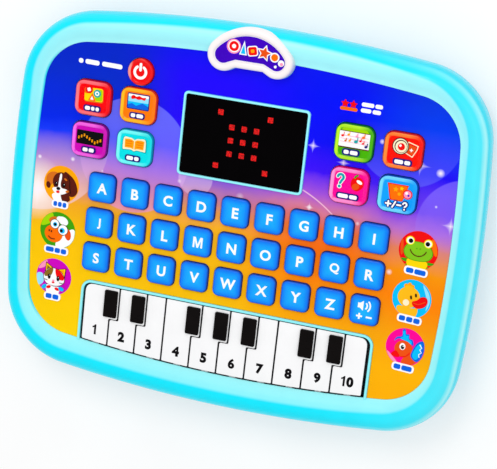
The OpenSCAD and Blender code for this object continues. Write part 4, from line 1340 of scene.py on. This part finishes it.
def name_bar(x, y, w, parts, turn):
    """Blue bars with a white edge."""
    edge = [card("white", x, y, w + 1.5, 4, 1.6, turn)]
    return edge + bars(x, y, w - 0.4, 2.5, 0.8, 0.5, "blue", parts, turn)


def make_pictures():
    spots = [("dog", dog, -91.5, 1.7, 7.4, [1, 1, 1]), ("sheep", sheep, -91.5, -22.2, 11.5, [3, 2, 2]),
             ("cat", cat, -91.5, -46.5, 7.4, [2, 2]), ("frog", frog, 91.5, 1.7, 10, [2, 3]),
             ("duck", duck, 91.5, -22.2, 10.6, [2, 2, 2]), ("bird", bird, 91.5, -46.5, 9.4, [2, 3])]
    for name, draw, x, y, wide, parts in spots:
        shape = Shape()
        art = draw() + name_bar(0.2, -10.2, wide, parts, -1 if x < 0 else -3)
        piece("spot_" + name, shape, add_art(shape, art, x, y + FACE_Y, FACE_Z))
    marks = Shape()
    art = []
    for at, bar in ((-86.6, 2.4), (-80.6, 7.4), (-70.2, 10.6)):
        art.append(card("white", at, 65.2, bar, 2.3, 1, -1))
    art += [card("orange", 49.6, 63.2, 8.4, 1.6, 0.7), ("red", star(47.6, 65.6, 2.1, 1.1)),
            ("red", star(51.6, 65.6, 2.1, 1.1))]
    for at, row, bar in ((58.6, 66.4, 6), (64, 66.4, 3.6), (58, 63.6, 5), (63.2, 63.6, 4)):
        art.append(card("white", at, row, bar, 1.9, 0.8))
    piece("face_marks", marks, add_art(marks, art, 0, FACE_Y, FACE_Z))


# ---------------------------------------------------------------- inside the case


def make_batteries():
    """Three wrapped cells, and the plates and springs that hold them."""
    lo, hi = box("batteries")
    mid_z = (lo.z + hi.z) / 2
    shape = Shape()
    half, r = (hi.x - lo.x) / 2, CELL_R
    profile = [(-half, r - 2), (-half, r - 0.6), (-half + 0.3, r - 0.3), (-half + 0.3, r - 0.1),
               (-half + 1, r), (half - 14, r), (half - 13.9, r), (half - 2.6, r), (half - 1.9, r - 0.4),
               (half - 1.6, r - 1), (half - 1.5, 2.8), (half - 0.2, 2.7), (half, 2.4)]
    inks = [0, 0, 1, 1, 1, 2, 2, 2, 1, 0, 0, 0, 0]
    for j in (-1, 0, 1):
        turned = [(-along, r) for along, r in reversed(profile)] if j == 0 else profile
        ring_inks = ([inks[-1]] + inks[-2::-1]) if j == 0 else inks
        shape.lathe(turned, (0, j * CELL_PITCH, mid_z), ring_inks, 40)
    steel = metal("cell_steel", (205, 205, 208), 0.3)
    wraps = [plastic("cell_wrap", (40, 44, 52), rough=0.3), plastic("cell_band", (60, 170, 90), rough=0.3)]
    piece("cells", shape, [steel] + wraps, stands_for=["batteries"])

    springs = Shape()
    plate_t, turns, reach = 0.4, 3, 2
    steps = turns * 14
    for j in (-1, 0, 1):
        for side in (-1, 1):
            y = j * CELL_PITCH
            wall_x = side * BAY_W / 2
            inner = wall_x - side * plate_t
            springs.lathe([(min(wall_x, inner), 5), (max(wall_x, inner), 5)], (0, y, mid_z), steps=24)
            path = []
            for k in range(steps + 1):
                (dy, dz), = oval(0, 0, mix(3.1, 1.9, k / steps), turn=360 * turns * k / steps, steps=1)
                path.append((inner - side * (0.4 + reach * k / steps), y + dy, mid_z + dz))
            springs.wire(path, 0.3, 6)
    plated = metal("contact_steel", (200, 200, 205), 0.25)
    piece("contacts", springs, [plated], stands_for=["battery_contacts"])


def dress_inside():
    """Materials for the CAD nodes that stay as they are."""
    def board_colour(g):
        tracks = g.add("ShaderNodeTexBrick", g.place)
        tracks.inputs["Scale"].default_value = 1 / (6 * MM)
        tracks.inputs["Color1"].default_value = linear(12, 92, 45)
        tracks.inputs["Color2"].default_value = linear(14, 104, 52)
        tracks.inputs["Mortar"].default_value = linear(40, 140, 80)
        tracks.inputs["Mortar Size"].default_value = 0.03
        return tracks.outputs[0]

    looks = {
        "main_board": plastic("board_green", board_colour, rough=0.35, gloss=0.4),
        "led_matrix": plastic("led_block", (30, 30, 32), rough=0.45),
        "speaker": plastic("speaker_black", (26, 26, 28), rough=0.6, shade=0.15, grain=(0.6, 0.05)),
        "key_mat": plastic("mat_silicone", (96, 98, 104), rough=0.55, shade=0.04, grain=(0.8, 0.02)),
    }
    for node, look in looks.items():
        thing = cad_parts[node]
        if not thing.material_slots:
            thing.data.materials.append(look)
        for one in thing.material_slots:
            one.material = look


# ---------------------------------------------------------------- studio


def area_light(name, place, size, power):
    """A square light that looks at the origin."""
    data = bpy.data.lights.new(name, "AREA")
    data.shape = "RECTANGLE"
    data.size = data.size_y = size
    data.energy = power
    thing = add_object(name, data)
    thing.location = place
    thing.rotation_mode = "QUATERNION"
    thing.rotation_quaternion = (-Vector(place)).to_track_quat("-Z", "Y")


FLOOR_HALF = 1500
FLOOR_GLOW = 0.36


def make_studio():
    shape = Shape()
    corners = [(-FLOOR_HALF, -FLOOR_HALF), (FLOOR_HALF, -FLOOR_HALF), (FLOOR_HALF, FLOOR_HALF),
               (-FLOOR_HALF, FLOOR_HALF)]
    shape.face(shape.loop(corners, -0.05))
    floor = add_object("floor", shape.mesh("floor", 30))
    g = Graph("floor_paper")
    tone = g.range(g.noise(60, 2), 0.3, 0.7, 0.62, 0.64)
    g.set(Base_Color=g.grey(tone), Roughness=0.9)
    g.set(Emission_Color=(1, 1, 1, 1), Emission_Strength=FLOOR_GLOW)
    g.set(Specular_IOR_Level=0.1)
    # Seen from below, the floor lets the underside of the toy show
    clear = g.add("ShaderNodeBsdfTransparent")
    both = g.add("ShaderNodeMixShader", g.add("ShaderNodeNewGeometry").outputs["Backfacing"],
                 g.shader.outputs[0], clear.outputs[0])
    output = next(n for n in g.tree.nodes if n.type == "OUTPUT_MATERIAL")
    g.tree.links.new(both.outputs[0], output.inputs["Surface"])
    floor.data.materials.append(g.material)

    world = bpy.data.worlds.new("studio")
    bpy.context.scene.world = world
    world.use_nodes = True
    world.node_tree.nodes["Background"].inputs["Color"].default_value = (1, 1, 1, 1)
    world.node_tree.nodes["Background"].inputs["Strength"].default_value = 0.82
    area_light("key_light", (-0.1, 0.55, 0.8), 0.4, 2)
    area_light("fill_light", (0.5, 0.2, 0.9), 0.6, 0.9)
    scene = bpy.context.scene
    scene.view_settings.view_transform = "Standard"
    scene.view_settings.look = "None"


def make_camera():
    azimuth, elevation, heading = math.radians(133.9), math.radians(68.11), math.radians(-6.47)
    distance = 869.9
    target = Vector((8.32, -3.7, 28.6))
    back = Vector((math.sin(azimuth) * math.cos(elevation), -math.cos(azimuth) * math.cos(elevation),
                   math.sin(elevation)))
    up = Vector((math.sin(heading), math.cos(heading), 0))
    up = (up - back * up.dot(back)).normalized()
    right = up.cross(back)
    data = bpy.data.cameras.new("camera")
    data.lens = 130.29
    data.clip_start, data.clip_end = 0.01, 10
    camera = add_object("camera", data)
    turn = Matrix((right, up, back)).transposed()
    camera.matrix_world = Matrix.Translation((target + back * distance) * MM) @ turn.to_4x4()
    bpy.context.scene.camera = camera


# ---------------------------------------------------------------- the whole toy

rim_plastic = plastic("rim_plastic", rim_colour, rough=0.22, gloss=0.2, shade=0.015, grain=(3, 0.006))
base_plastic = plastic("base_plastic", (8, 190, 222), rough=0.42, gloss=0.35, shade=0.03, grain=(0.5, 0.03))
make_front(rim_plastic)
make_film()
make_rear(base_plastic)
make_door(base_plastic)
make_screws(metal("screw_steel", (190, 190, 195), 0.35))
make_window()
make_badge()
make_letter_keys()
make_function_buttons()
make_power_button()
make_piano()
make_pictures()
make_batteries()
dress_inside()
make_studio()
make_camera()
